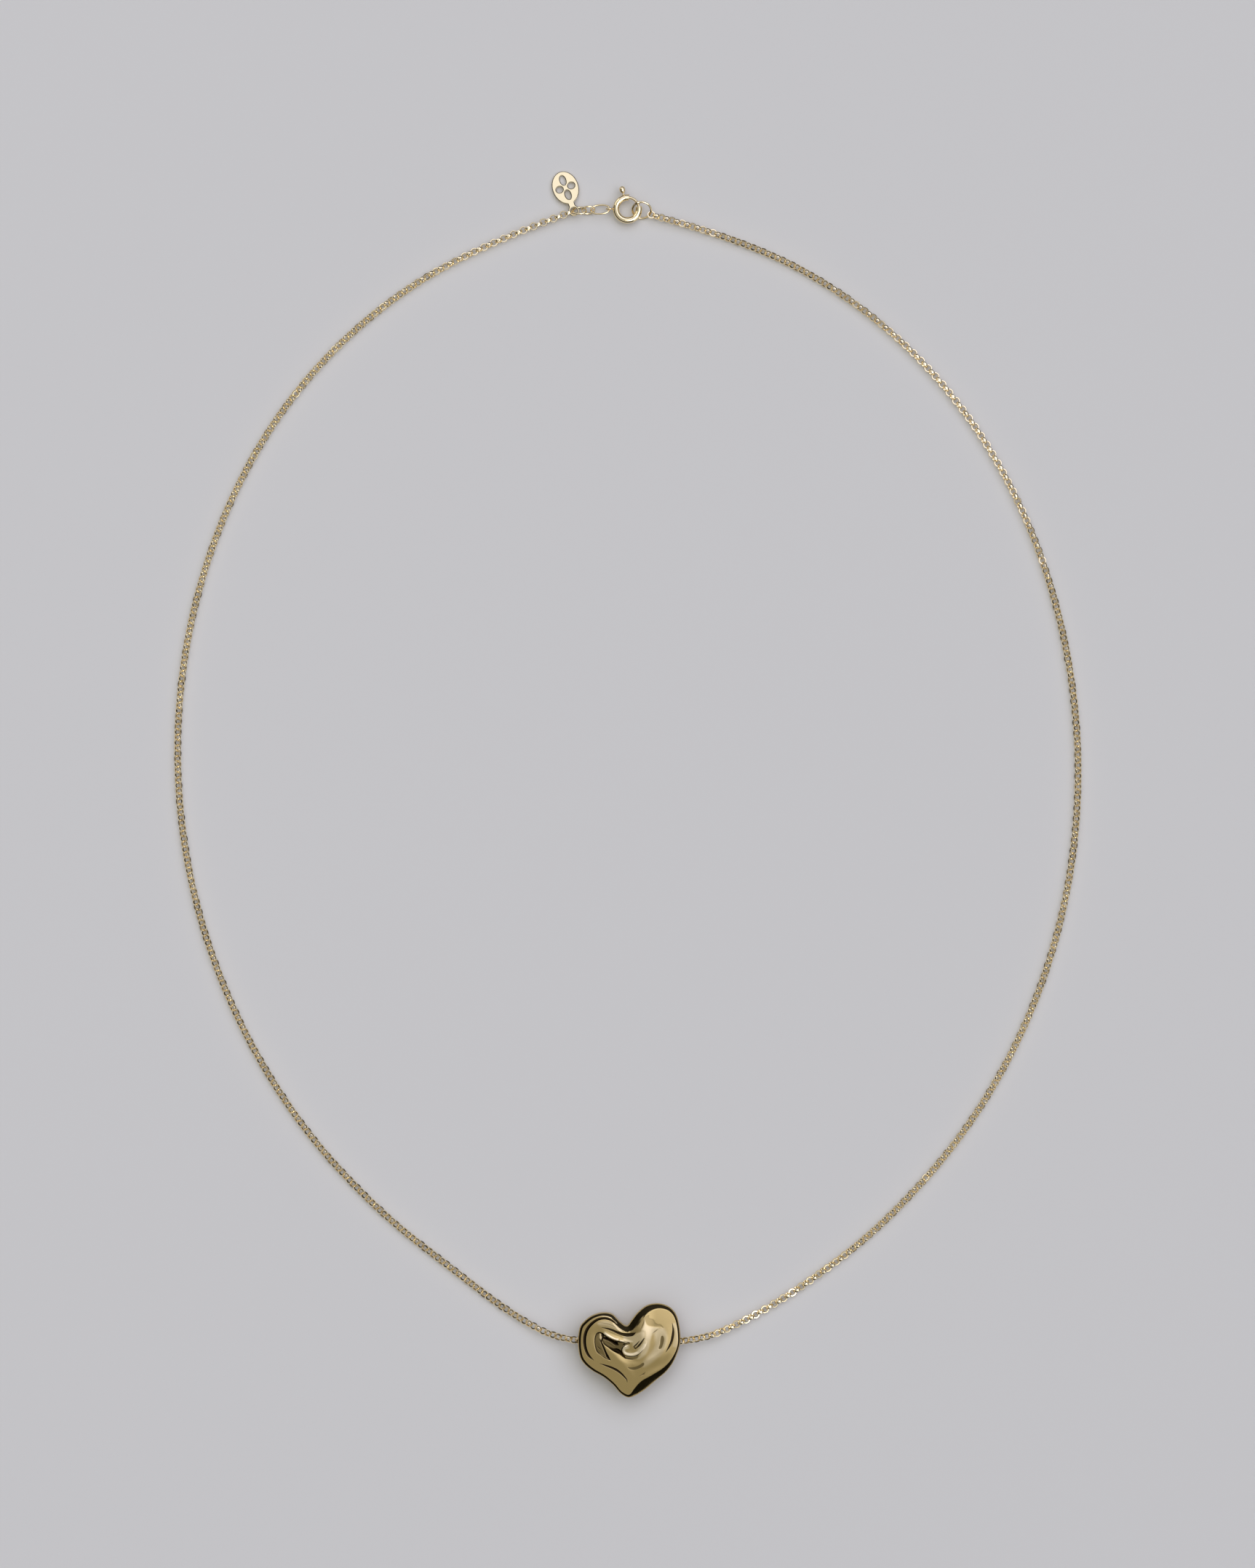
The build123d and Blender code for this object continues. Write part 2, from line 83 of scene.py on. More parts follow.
# Areas of the cast relief, each inside an outline of (across, up) corners. Later areas lie over
# earlier ones. rise is a share of the thickness, soft is the width of the border as a share of
# the width, dark is the painted shade and shine the painted highlight put into the colour inside.
# columns: name, rise, soft, dark, shine, outline
HEART_AREAS = [
    ("painted highlight on the side of the channel", 0.0, 0.045, 0.0, 0.50,
     [(0.745, 0.690), (0.780, 0.735), (0.830, 0.740), (0.860, 0.690), (0.862, 0.610),
      (0.848, 0.535), (0.805, 0.462), (0.745, 0.405), (0.680, 0.352), (0.635, 0.335),
      (0.640, 0.385), (0.690, 0.450), (0.735, 0.510), (0.755, 0.570), (0.750, 0.640)]),
    ("painted highlight on the end of the lip", 0.0, 0.030, 0.0, 0.55,
     [(0.450, 0.655), (0.500, 0.655), (0.545, 0.668), (0.580, 0.700), (0.610, 0.718),
      (0.645, 0.715), (0.655, 0.680), (0.645, 0.635), (0.615, 0.595), (0.585, 0.568),
      (0.560, 0.552), (0.535, 0.562), (0.530, 0.588), (0.500, 0.604), (0.450, 0.612)]),
    ("painted highlight on the top of the left lobe", 0.0, 0.030, 0.0, 0.45,
     [(0.195, 0.795), (0.240, 0.815), (0.290, 0.815), (0.350, 0.790), (0.400, 0.750),
      (0.440, 0.712), (0.385, 0.718), (0.330, 0.738), (0.280, 0.755), (0.220, 0.765)]),
    ("bright slope", 0.004, 0.030, 0.0, 0.55,
     [(0.651, 0.838), (0.640, 0.775), (0.615, 0.718), (0.640, 0.714), (0.656, 0.695),
      (0.652, 0.650), (0.635, 0.600), (0.605, 0.555), (0.580, 0.515), (0.603, 0.490),
      (0.602, 0.450), (0.576, 0.418), (0.615, 0.425), (0.660, 0.470), (0.690, 0.540),
      (0.700, 0.600), (0.720, 0.670), (0.755, 0.715), (0.780, 0.744), (0.735, 0.752),
      (0.690, 0.765), (0.665, 0.790)]),
    ("shade beside the slope", -0.006, 0.026, 0.35, 0.0,
     [(0.500, 0.700), (0.545, 0.735), (0.585, 0.805), (0.620, 0.850), (0.645, 0.870),
      (0.640, 0.800), (0.618, 0.735), (0.600, 0.700), (0.555, 0.688)]),
    ("patch", -0.003, 0.006, 0.28, 0.0,
     [(0.652, 0.845), (0.668, 0.872), (0.692, 0.880), (0.695, 0.850), (0.735, 0.832),
      (0.752, 0.800), (0.775, 0.784), (0.805, 0.778), (0.832, 0.746), (0.800, 0.757),
      (0.760, 0.757), (0.720, 0.763), (0.685, 0.775), (0.665, 0.800)]),
    ("hollow under the lip", -0.020, 0.010, 0.62, 0.0,
     [(0.235, 0.690), (0.228, 0.640), (0.245, 0.585), (0.300, 0.540), (0.345, 0.505),
      (0.400, 0.470), (0.440, 0.440), (0.460, 0.425), (0.446, 0.465), (0.430, 0.500),
      (0.436, 0.535), (0.460, 0.558), (0.505, 0.578), (0.490, 0.597), (0.440, 0.598),
      (0.400, 0.605), (0.350, 0.620), (0.300, 0.645), (0.260, 0.672)]),
    ("shade below the tongue", -0.006, 0.014, 0.50, 0.0,
     [(0.440, 0.460), (0.455, 0.430), (0.480, 0.416), (0.540, 0.416), (0.578, 0.424),
      (0.590, 0.458), (0.550, 0.440), (0.510, 0.434), (0.470, 0.441)]),
    ("floor of the wedge", -0.014, 0.009, 0.52, 0.0,
     [(0.192, 0.692), (0.168, 0.650), (0.163, 0.600), (0.172, 0.545), (0.190, 0.500),
      (0.225, 0.465), (0.270, 0.430), (0.318, 0.400), (0.295, 0.440), (0.275, 0.480),
      (0.255, 0.530), (0.235, 0.580), (0.222, 0.610), (0.236, 0.650), (0.226, 0.692)]),
    ("bead in the wedge", 0.010, 0.006, 0.08, 0.3,
     [(0.206, 0.650), (0.212, 0.622), (0.225, 0.613), (0.238, 0.630), (0.236, 0.655),
      (0.223, 0.680), (0.210, 0.680)]),
    ("oval dent", -0.005, 0.005, 0.58, 0.0,
     [(0.790, 0.520), (0.812, 0.530), (0.828, 0.570), (0.838, 0.625), (0.828, 0.657),
      (0.811, 0.655), (0.802, 0.620), (0.797, 0.570), (0.786, 0.535)]),
    ("short groove", -0.004, 0.005, 0.60, 0.0,
     [(0.488, 0.327), (0.505, 0.308), (0.540, 0.299), (0.580, 0.308), (0.620, 0.330),
      (0.645, 0.356), (0.636, 0.377), (0.600, 0.352), (0.560, 0.334), (0.520, 0.327)]),
]

# Creases of the cast relief, with crisp edges. Each runs through (across, up, half width)
# points, as shares of the heart's width and height, the half width as a share of the width.
# slope is the steepness of the sides, and dark the painted shade in the crease.
# columns: name, slope, dark, points
HEART_CREASES = [
    ("rim groove", 0.66, 0.97,
     [(0.378, 0.791, 0.0028), (0.347, 0.814, 0.0091), (0.308, 0.837, 0.0119),
      (0.256, 0.847, 0.0119), (0.195, 0.833, 0.0127), (0.138, 0.791, 0.0146),
      (0.094, 0.734, 0.0155), (0.071, 0.668, 0.0164), (0.065, 0.601, 0.0164),
      (0.073, 0.534, 0.0155), (0.092, 0.476, 0.0146), (0.118, 0.436, 0.0119),
      (0.155, 0.402, 0.0028)]),
    ("line on the lobe", 0.15, 0.16,
     [(0.200, 0.800, 0.0028), (0.255, 0.792, 0.0060), (0.320, 0.774, 0.0060),
      (0.390, 0.738, 0.0060), (0.455, 0.705, 0.0028)]),
    ("long groove", 0.66, 0.97,
     [(0.234, 0.748, 0.0028), (0.286, 0.738, 0.0091), (0.340, 0.719, 0.0119),
      (0.385, 0.697, 0.0137), (0.439, 0.678, 0.0164), (0.492, 0.672, 0.0192),
      (0.530, 0.680, 0.0174), (0.564, 0.698, 0.0036)]),
    ("left crease of the wedge", 0.66, 0.95,
     [(0.226, 0.695, 0.0040), (0.195, 0.691, 0.0060), (0.176, 0.659, 0.0064),
      (0.168, 0.601, 0.0055), (0.176, 0.534, 0.0073), (0.193, 0.491, 0.0091),
      (0.225, 0.460, 0.0055), (0.271, 0.424, 0.0064), (0.317, 0.402, 0.0028)]),
    ("right crease of the wedge", 0.66, 1.0,
     [(0.214, 0.630, 0.0036), (0.237, 0.576, 0.0101), (0.256, 0.526, 0.0109),
      (0.275, 0.476, 0.0119), (0.294, 0.434, 0.0137), (0.319, 0.402, 0.0028)]),
    ("stroke in the wedge", 0.50, 0.9,
     [(0.190, 0.555, 0.0023), (0.208, 0.530, 0.0073), (0.234, 0.512, 0.0023)]),
    ("top of the wedge", 0.60, 1.0,
     [(0.192, 0.665, 0.0036), (0.205, 0.692, 0.0064), (0.232, 0.690, 0.0082),
      (0.243, 0.650, 0.0119), (0.232, 0.605, 0.0082)]),
    ("black under the lip", 0.70, 1.0,
     [(0.236, 0.672, 0.0036), (0.256, 0.637, 0.0119), (0.300, 0.617, 0.0128),
      (0.340, 0.595, 0.0155), (0.370, 0.576, 0.0192), (0.394, 0.567, 0.0082)]),
    ("edge of the blade", 0.70, 1.0,
     [(0.240, 0.606, 0.0046), (0.262, 0.574, 0.0064), (0.300, 0.545, 0.0073),
      (0.340, 0.518, 0.0137), (0.382, 0.505, 0.0228), (0.414, 0.484, 0.0174),
      (0.440, 0.450, 0.0091), (0.470, 0.423, 0.0064), (0.520, 0.413, 0.0055),
      (0.560, 0.414, 0.0018)]),
    ("hole by the tongue", 0.66, 1.0,
     [(0.432, 0.556, 0.0023), (0.454, 0.573, 0.0082), (0.485, 0.585, 0.0030)]),
    ("upper slit", 0.66, 1.0,
     [(0.546, 0.548, 0.0060), (0.572, 0.574, 0.0073), (0.600, 0.610, 0.0030)]),
    ("end of the slits", 0.66, 1.0,
     [(0.548, 0.545, 0.0036), (0.556, 0.532, 0.0082), (0.566, 0.528, 0.0036)]),
    ("lower slit", 0.66, 1.0,
     [(0.560, 0.524, 0.0046), (0.601, 0.568, 0.0096), (0.644, 0.634, 0.0055)]),
    ("edge of the bright slope", 0.40, 0.60,
     [(0.650, 0.850, 0.0018), (0.640, 0.805, 0.0055), (0.624, 0.762, 0.0064),
      (0.606, 0.720, 0.0018)]),
    ("tip groove", 0.66, 0.97,
     [(0.216, 0.365, 0.0028), (0.271, 0.346, 0.0091), (0.324, 0.325, 0.0119),
      (0.378, 0.296, 0.0128), (0.423, 0.259, 0.0109), (0.458, 0.219, 0.0082),
      (0.475, 0.196, 0.0064), (0.481, 0.170, 0.0028)]),
    ("short groove below", 0.55, 0.5,
     [(0.600, 0.234, 0.0023), (0.626, 0.246, 0.0070), (0.641, 0.257, 0.0080),
      (0.655, 0.277, 0.0023)]),
    ("right groove", 0.62, 0.95,
     [(0.917, 0.790, 0.0028), (0.927, 0.726, 0.0091), (0.924, 0.668, 0.0128),
      (0.911, 0.601, 0.0119), (0.887, 0.542, 0.0091), (0.854, 0.486, 0.0028)]),
    ("short slit", 0.60, 0.75,
     [(0.724, 0.686, 0.0015), (0.751, 0.708, 0.0046), (0.780, 0.733, 0.0015)]),
]

# Soft folds between the creases. The line runs through (across, up) points. left and right are
# the fold's half widths on each side of the line, as shares of the width, rise is a share of
# the thickness, and shine is how much painted highlight the fold gets in its colour.
# columns: name, left, right, rise, shine, line
HEART_FOLDS = [
    ("valley floor", 0.072, 0.072, -0.030, 0.0,
     [(0.170, 0.710), (0.230, 0.650), (0.320, 0.570), (0.400, 0.510), (0.470, 0.440),
      (0.590, 0.405), (0.680, 0.420)]),
    ("lip", 0.052, 0.030, 0.028, 0.0,
     [(0.190, 0.725), (0.250, 0.690), (0.304, 0.650), (0.385, 0.617), (0.455, 0.592),
      (0.520, 0.592), (0.580, 0.630)]),
    ("bright edge of the lip", 0.0250, 0.0070, 0.010, 1.0,
     [(0.246, 0.690), (0.275, 0.667), (0.305, 0.647), (0.345, 0.623), (0.375, 0.612),
      (0.402, 0.613)]),
    ("end of the lip", 0.0170, 0.0070, 0.006, 0.8,
     [(0.402, 0.611), (0.430, 0.600), (0.465, 0.594), (0.505, 0.597), (0.550, 0.600)]),
    ("tongue rim", 0.0360, 0.0090, 0.025, 1.0,
     [(0.510, 0.556), (0.472, 0.555), (0.443, 0.540), (0.433, 0.508), (0.443, 0.478),
      (0.468, 0.458), (0.508, 0.448), (0.552, 0.453), (0.592, 0.474), (0.628, 0.512),
      (0.656, 0.560), (0.672, 0.610)]),
    ("tongue dish", 0.035, 0.035, -0.010, 0.0,
     [(0.460, 0.520), (0.505, 0.508), (0.550, 0.525), (0.610, 0.585)]),
    ("painted highlight on the upper rim", 0.012, 0.012, 0.002, 0.3,
     [(0.225, 0.876), (0.290, 0.868), (0.340, 0.850), (0.372, 0.815), (0.392, 0.785)]),
    ("painted highlight on the right rim", 0.024, 0.024, 0.002, 0.30,
     [(0.925, 0.800), (0.948, 0.740), (0.957, 0.670), (0.953, 0.600), (0.935, 0.530)]),
    ("ridge of the lobe", 0.082, 0.082, 0.020, 0.0,
     [(0.470, 0.700), (0.400, 0.750), (0.300, 0.790), (0.190, 0.780), (0.120, 0.700),
      (0.115, 0.580), (0.150, 0.470), (0.230, 0.380)]),
    ("broad slope", 0.115, 0.200, 0.064, 0.0,
     [(0.670, 0.980), (0.652, 0.860), (0.634, 0.750), (0.612, 0.660), (0.570, 0.580),
      (0.500, 0.500)]),
    ("channel", 0.060, 0.060, -0.015, 0.0,
     [(0.810, 0.740), (0.780, 0.640), (0.735, 0.550), (0.670, 0.475), (0.580, 0.410)]),
    ("outer ridge", 0.064, 0.064, 0.020, 0.0,
     [(0.880, 0.800), (0.873, 0.680), (0.850, 0.550), (0.780, 0.440), (0.668, 0.375),
      (0.560, 0.340)]),
    ("lit side of the channel", 0.026, 0.026, 0.006, 0.12,
     [(0.862, 0.680), (0.856, 0.600), (0.830, 0.520), (0.770, 0.465), (0.700, 0.405),
      (0.645, 0.365)]),
    ("trough inside the rim", 0.058, 0.058, -0.020, 0.0,
     [(0.900, 0.480), (0.820, 0.380), (0.720, 0.300), (0.620, 0.220)]),
    ("fold over the tip", 0.082, 0.082, 0.014, 0.0,
     [(0.250, 0.430), (0.360, 0.410), (0.450, 0.330), (0.510, 0.220), (0.520, 0.080)]),
]
# Short runs between two corners of a fold, crease or area
FOLD_STEPS = 8

# Folds wider than this share of the width fade out slowly at their ends
BROAD_FOLD = 0.04
BROAD_FADE = 1.5
NARROW_FADE = 0.8

# Share of a fold's half width over which its painted highlight fades, and how fast it fades at the
# ends
HIGHLIGHT_EDGE = 0.4
HIGHLIGHT_ENDS = 4.0

# Share of a crease's half width that is rounded at its bottom, and how far its painted shade fades
CREASE_ROUND = 0.30
PAINTED_SHADE_EDGE = 0.09 * MM
PAINTED_SHADE_OVERLAP = 0.3

# Power of the curve of the shoulder, from the crown to the edge
SHOULDER_CURVE = 1.3

# Middle of the heart's grid, as shares of the width and height, and how much the grid crowds
# towards the outline
HEART_MIDDLE = (0.50, 0.47)
GRID_CROWDING = 1.25

# Chain route in millimetres, from the tag to the heart and from the heart to the jump ring.
# columns: x, y, roll of the links in degrees
ROUTE_LEFT = [
    (-25.1, 84.5, 20.0),
    (-41.7, 73.8, 45.0),
    (-55.2, 59.2, 45.0),
    (-64.7, 41.5, 45.0),
    (-70.2, 22.1, 45.0),
    (-71.6, 2.0, 45.0),
    (-68.9, -17.9, 45.0),
    (-62.2, -36.8, 45.0),
    (-51.9, -54.0, 45.0),
    (-39.3, -67.6, 45.0),
    (-28.0, -76.4, 45.0),
    (-18.2, -83.9, 45.0),
]
ROUTE_RIGHT = [
    (18.7, -84.7, 10.0),
    (28.5, -78.7, 20.0),
    (40.4, -69.6, 45.0),
    (53.7, -54.8, 45.0),
    (63.8, -36.8, 45.0),
    (69.8, -17.1, 45.0),
    (71.6, 3.3, 45.0),
    (69.2, 23.9, 45.0),
    (62.7, 43.6, 25.0),
    (52.1, 61.2, 10.0),
    (37.5, 75.5, 30.0),
    (19.5, 85.8, 45.0),
]

# Oval links, from the clasp to the tag. columns: length as a share of the longest link,
# play in the link before as a share of the wire, roll in degrees
EXTENDER_ROWS = [
    (1.00, 0.0, 25.0),
    (0.67, 1.8, -50.0),
    (0.72, 2.1, 47.0),
]

# How full the oval links are: near 0 they are ellipses, and far above 1 their sides are straight
OVAL_FULLNESS = 1.5

# Angle from which an edge counts as sharp, and how far the cutter of the tube's bore goes on into
# the mouth, in radians
SHARP_EDGE = math.radians(60)
BORE_OVERRUN = 0.4

# Depth and width of the dimple in the gate's knob, as shares of the knob's half length and half
# diameter
DIMPLE_DEPTH = 0.16
DIMPLE_WIDTH = 0.35

# Spread of the solder along the jump ring in radians, and how far it leans to the outer side
SOLDER_SPREAD = 0.12
SOLDER_LEAN = 0.4

# Length of the cutter of the heart's bore, as a share of the width
BORE_CUTTER = 1.2

# Soft corners between the tag's eyelet, neck and plate
TAG_BLEND = 0.10 * MM

# Place of the end links on their rings, as a share of a link's inner radius
HANG = 0.5

# Seed of the links' random turns, and their spread about the route and about any axis, as shares
# of the sway
LINK_SEED = 7
ROLL_SPREAD = 0.6
NOD_SPREAD = 0.4

# Side of the floor in metres, sides of the lamps over it, and the soft edge of the softbox in
# radians
FLOOR_SIDE = 8.0
LAMP_SIDE = 1.2
SOFTBOX_EDGE = 0.07

# Metals. columns: name, roughness, patches of wear in a metre
METALS = {
    "heart": ("heart tan gold", 0.09, 900.0),
    "chain": ("chain champagne gold", 0.17, 1500.0),
    "clasp": ("clasp champagne gold", 0.10, 1200.0),
    "tag": ("tag cream gold", 0.22, 3000.0),
}

# Patches of tone in a metre, how far tone and gloss vary, and the bump of the wear
TONE_PATCHES = 180.0
TONE_RANGE = (0.94, 1.05)
GLOSS_RANGE = (0.75, 1.3)
BUMP_STRENGTH = 0.05
BUMP_DEPTH = 9.0 * MM

# Petals of the pierced tag. columns: place across and up, half width and half height,
# all as shares of the tag's half width or half height
TAG_PETALS = [
    (0.0, 0.46, 0.22, 0.30),
    (0.0, -0.46, 0.22, 0.30),
    (-0.47, 0.0, 0.27, 0.20),
    (0.47, 0.0, 0.27, 0.20),
]


def length(name, description, millimetres):
    """A length property, given in millimetres and held in metres."""
    return bpy.props.FloatProperty(
        name=name, description=description, default=millimetres * MM, unit="LENGTH", precision=5
    )


def share(name, description, value):
    """A property that is a share of another size."""
    return bpy.props.FloatProperty(name=name, description=description, default=value)


def turn(name, description, degrees):
    """An angle property, given in degrees and held in radians."""
    return bpy.props.FloatProperty(
        name=name, description=description, default=math.radians(degrees), subtype="ANGLE"
    )


def count(name, description, value):
    """A whole number property."""
    return bpy.props.IntProperty(name=name, description=description, default=value, min=1)


def colour(name, description, value):
    """A colour property."""
    return bpy.props.FloatVectorProperty(
        name=name, description=description, default=value, size=3, subtype="COLOR"
    )


class HeartSizes(bpy.types.PropertyGroup):
    """Sizes of the heart bead."""

    width: length("Width", "Width of the heart", 16.2)
    height: length("Height", "Height of the heart as seen from above", 14.8)
    thickness: length("Thickness", "Thickness in the middle, without the folds", 5.0)
    centre_x: length("Centre X", "Middle of the heart across", 0.17)
    centre_y: length("Centre Y", "Middle of the heart's height", -89.16)
    wall_share: share("Wall", "Height of the wall as a share of the thickness", 0.7)
    crown_drop: share("Crown drop", "Fall of the crown towards its rim", 0.12)
    shoulder_slope: share("Shoulder", "Steepness of the shoulder round the crown", 0.62)
    edge_round: length("Edge round", "Rounding between the shoulder and the wall", 0.15)
    foot_round: length("Foot round", "Rounding of the lower edge", 0.6)
    wall_draft: share("Wall draft", "How much narrower the wall is at its foot", 0.035)
    bore_diameter: length("Bore", "Diameter of the bore for the chain", 2.0)
    bore_rise: length("Bore rise", "Bore above the middle, as seen from above", 0.9)
    bore_height: length("Bore height", "Height of the bore over the floor", 2.3)
    grid_steps: count("Grid steps", "Faces along each side of the crown's grid", 285)
    wall_steps: count("Wall steps", "Rings of faces down the wall", 6)


class ChainSizes(bpy.types.PropertyGroup):
    """Sizes of the belcher chain."""

    link_diameter: length("Link", "Outer diameter of a link", 1.33)
    wire_radial: length("Wire depth", "Depth of the wire, seen along it", 0.23)
    wire_axial: length("Wire width", "Width of the wire, seen along it", 0.44)
    pitch: length("Pitch", "Distance from link to link", 0.845)
    level: length("Level", "Height of the chain's middle over the floor", 0.65)
    bore_level: length("Bore level", "Height of the chain in the heart's bore", 2.125)
    mouth_run: length("Mouth run", "Straight run on each side of the heart", 1.7)
    mouth_roll: turn("Mouth roll", "Roll of the links at the heart", 45.0)
    end_roll: turn("End roll", "Roll of the links at the jump ring", 20.0)
    link_sides: count("Link sides", "Faces round a link", 16)
    wire_sides: count("Wire sides", "Faces round the wire", 6)
    sway: turn("Sway", "Largest random turn of a link", 5.0)


class ClaspSizes(bpy.types.PropertyGroup):
    """Sizes of the spring ring, its gate, the jump ring and the oval links."""

    centre_x: length("Centre X", "Middle of the spring ring across", -0.09)
    centre_y: length("Centre Y", "Middle of the spring ring", 90.88)
    ring_diameter: length("Ring", "Outer diameter of the spring ring", 4.65)
    tube_diameter: length("Tube", "Thickness of the spring ring's tube", 1.03)
    bore_diameter: length("Tube bore", "Bore of the spring ring's tube", 0.62)
    mouth_start: turn("Mouth start", "Start of the mouth", 11.0)
    mouth_end: turn("Mouth end", "End of the mouth", 83.0)
    rim_round: length("Rim round", "Rounding of the tube's rims at the mouth", 0.06)
    gate_play: length("Gate play", "Play round the gate in the tube", 0.08)
    tip_depth: turn("Tip depth", "How far the gate's tip goes into the tube", 5.0)
    tip_round: length("Tip round", "Rounding of the ends of the gate's wire", 0.09)
    tail: turn("Tail", "How far the gate's wire goes past the knob", 7.0)
    travel: turn("Travel", "How far the gate slides", 50.0)
    knob_angle: turn("Knob angle", "Place of the knob round the ring", 105.0)
    knob_diameter: length("Knob", "Diameter of the knob's head", 0.95)
    knob_length: length("Knob length", "Length of the knob's head", 1.2)
    knob_neck: length("Knob neck", "Diameter of the knob's neck", 0.36)
    knob_reach: length("Knob reach", "Middle of the knob's head from the clasp's axis", 3.15)
    slot_play: length("Slot play", "Play of the neck in the slot", 0.05)
    slot_end_play: turn("Slot end play", "Play at each end of the slot", 3.0)
    loop_diameter: length("Loop", "Outer diameter of the soldered loop", 1.2)
    loop_wire: length("Loop wire", "Wire of the soldered loop", 0.24)
    loop_seat: length("Loop seat", "How far the loop sinks into the tube", 0.07)
    jump_diameter: length("Jump ring", "Outer diameter of the jump ring", 3.25)
    jump_wire: length("Jump wire", "Wire of the jump ring", 0.33)
    jump_reach: length("Jump reach", "Middle of the jump ring from the clasp's axis", 2.25)
    jump_angle: turn("Jump angle", "Direction of the jump ring from the clasp", -5.0)
    jump_gap: length("Jump gap", "Gap between the jump ring and the clasp", 0.25)
    jump_hook: turn("Jump hook", "Direction of the chain from the jump ring", -27.0)
    joint_angle: turn("Joint angle", "Place of the solder on the jump ring", 121.0)
    joint_bump: length("Joint bump", "How far the solder stands out", 0.13)
    floor_gap: length("Floor gap", "Gap over the floor", 0.02)
    link_length: length("Oval length", "Length of the longest oval link's centre line", 2.9)
    link_width: length("Oval width", "Width of the oval links' centre line", 1.6)
    link_wire: length("Oval wire", "Wire of the oval links", 0.3)
    extender_angle: turn("Oval direction", "Direction of the oval links", 183.0)
    extender_drop: length("Oval drop", "How far the first oval link drops", 0.25)


class TagSizes(bpy.types.PropertyGroup):
    """Sizes of the oval tag."""

    width: length("Width", "Width of the oval plate", 4.15)
    height: length("Height", "Height of the oval plate", 5.3)
    thickness: length("Thickness", "Thickness of the plate", 0.4)
    direction: turn("Direction", "Direction of the tag from its eyelet", 110.0)
    bevel: length("Bevel", "Width of the bevel round the face", 0.11)
    bevel_slope: share("Bevel slope", "Steepness of the bevel round the face", 0.7)
    eyelet_diameter: length("Eyelet", "Outer diameter of the eyelet", 1.7)
    eyelet_hole: length("Eyelet hole", "Hole of the eyelet", 1.1)
    eyelet_setback: length("Setback", "Eyelet's middle inside the last link's end", 0.15)
    neck_width: length("Neck width", "Width of the neck under the eyelet", 1.0)
    neck_length: length("Neck length", "Length of the neck under the eyelet", 0.45)
    hook_angle: turn("Chain angle", "Direction of the chain from the eyelet", 200.0)


class FinishColours(bpy.types.PropertyGroup):
    """Colours of the metals and of the floor."""

    heart: colour("Heart", "Tan gold of the heart", (0.55, 0.408, 0.168))
    # Painted highlight colour for the heart's folds
    heart_painted_highlight: colour("Heart highs", "Painted highlights on the folds of the heart", (0.96, 0.80, 0.51))
    # Painted shade colour for the heart's creases and hollows
    heart_painted_shade: colour("Heart creases", "Painted shade in the creases and hollows", (0.020, 0.012, 0.005))
    chain: colour("Chain", "Champagne gold of the chain", (0.93, 0.79, 0.52))
    clasp: colour("Clasp", "Champagne gold of the clasp", (0.90, 0.75, 0.47))
    tag: colour("Tag", "Cream gold of the tag", (0.93, 0.80, 0.53))
    floor: colour("Floor", "Pale floor", (0.80, 0.785, 0.745))


class StudioSettings(bpy.types.PropertyGroup):
    """Camera and lights."""

    view_height: length("View height", "Height of the photographed field", 247.9)
    view_x: length("View X", "Middle of the view across", -0.09)
    view_y: length("View Y", "Middle of the view", 0.06)
    camera_height: length("Camera height", "Camera above the floor", 1000.0)
    dome_angle: turn("Softbox", "Angle from straight up to the overhead softbox's edge", 57.0)
    dim_light: share("Dim light", "Brightness of the softbox on its dim side", 0.46)
    bright_light: share("Bright light", "Brightness of the softbox on its bright side", 1.30)
    panel_start: share("Panel start", "Where the softbox begins to brighten", -0.15)
    panel_end: share("Panel end", "Where the softbox is at its brightest", 0.55)
    bright_side: turn("Bright side", "Direction of the softbox's bright side", 48.0)
    dim_glow: colour("Dim glow", "Colour of the softbox on its dim side", (1.0, 1.0, 0.98))
    bright_glow: colour("Bright glow", "Colour of the softbox on its bright side", (1.0, 1.02, 1.22))
    surround: share("Surround", "Brightness of the studio round the softbox", 0.03)
    floor_power: bpy.props.FloatProperty(
        name="Floor lamp", description="Power of the lamp on the floor", default=4.0
    )
    tag_power: bpy.props.FloatProperty(
        name="Tag lamp", description="Power of the lamp on the tag", default=1.1
    )
    side_power: bpy.props.FloatProperty(
        name="Side lamps", description="Power of the two side lamps on the chain", default=3.2
    )
    sparkle_size: length("Sparkle lamp size", "Side of the square lamp on the chain", 900)
    sparkle_power: bpy.props.FloatProperty(
        name="Sparkle lamp", description="Power of the lamp on the chain and clasp", default=10.0
    )


SETTINGS = {
    "heart_sizes": HeartSizes,
    "chain_sizes": ChainSizes,
    "clasp_sizes": ClaspSizes,
    "tag_sizes": TagSizes,
    "finish_colours": FinishColours,
    "studio_settings": StudioSettings,
}


def deselect_all():
    """Leave object mode clean, with nothing selected."""
    bpy.ops.object.select_all(action="DESELECT")


def named_piece(name):
    """Give the newest object its name."""
    piece = bpy.context.active_object
    piece.name = name
    piece.data.name = name
    return piece


def select_only(*pieces):
    """Select these objects, the first one active."""
    deselect_all()
    for piece in pieces:
        piece.select_set(True)
    bpy.context.view_layer.objects.active = pieces[0]


def apply_place(piece):
    """Put an object's place, turn and scale into its mesh."""
    select_only(piece)
    bpy.ops.object.transform_apply(location=True, rotation=True, scale=True)


def apply_modifier(piece, kind, **values):
    """Add a modifier with these values and apply it."""
    select_only(piece)
    modifier = piece.modifiers.new(kind.lower(), kind)
    for name, value in values.items():
        setattr(modifier, name, value)
    bpy.ops.object.modifier_apply(modifier=modifier.name)


def combine(piece, other, operation):
    """Unite an object with another, or cut the other out of it. The other is used up."""
    apply_modifier(piece, "BOOLEAN", object=other, operation=operation, solver="EXACT")
    bpy.data.meshes.remove(other.data)


def points_of(piece):
    """Vertices of a mesh, one row each."""
    places = np.zeros(len(piece.data.vertices) * 3)
    piece.data.vertices.foreach_get("co", places)
    return places.reshape(-1, 3)


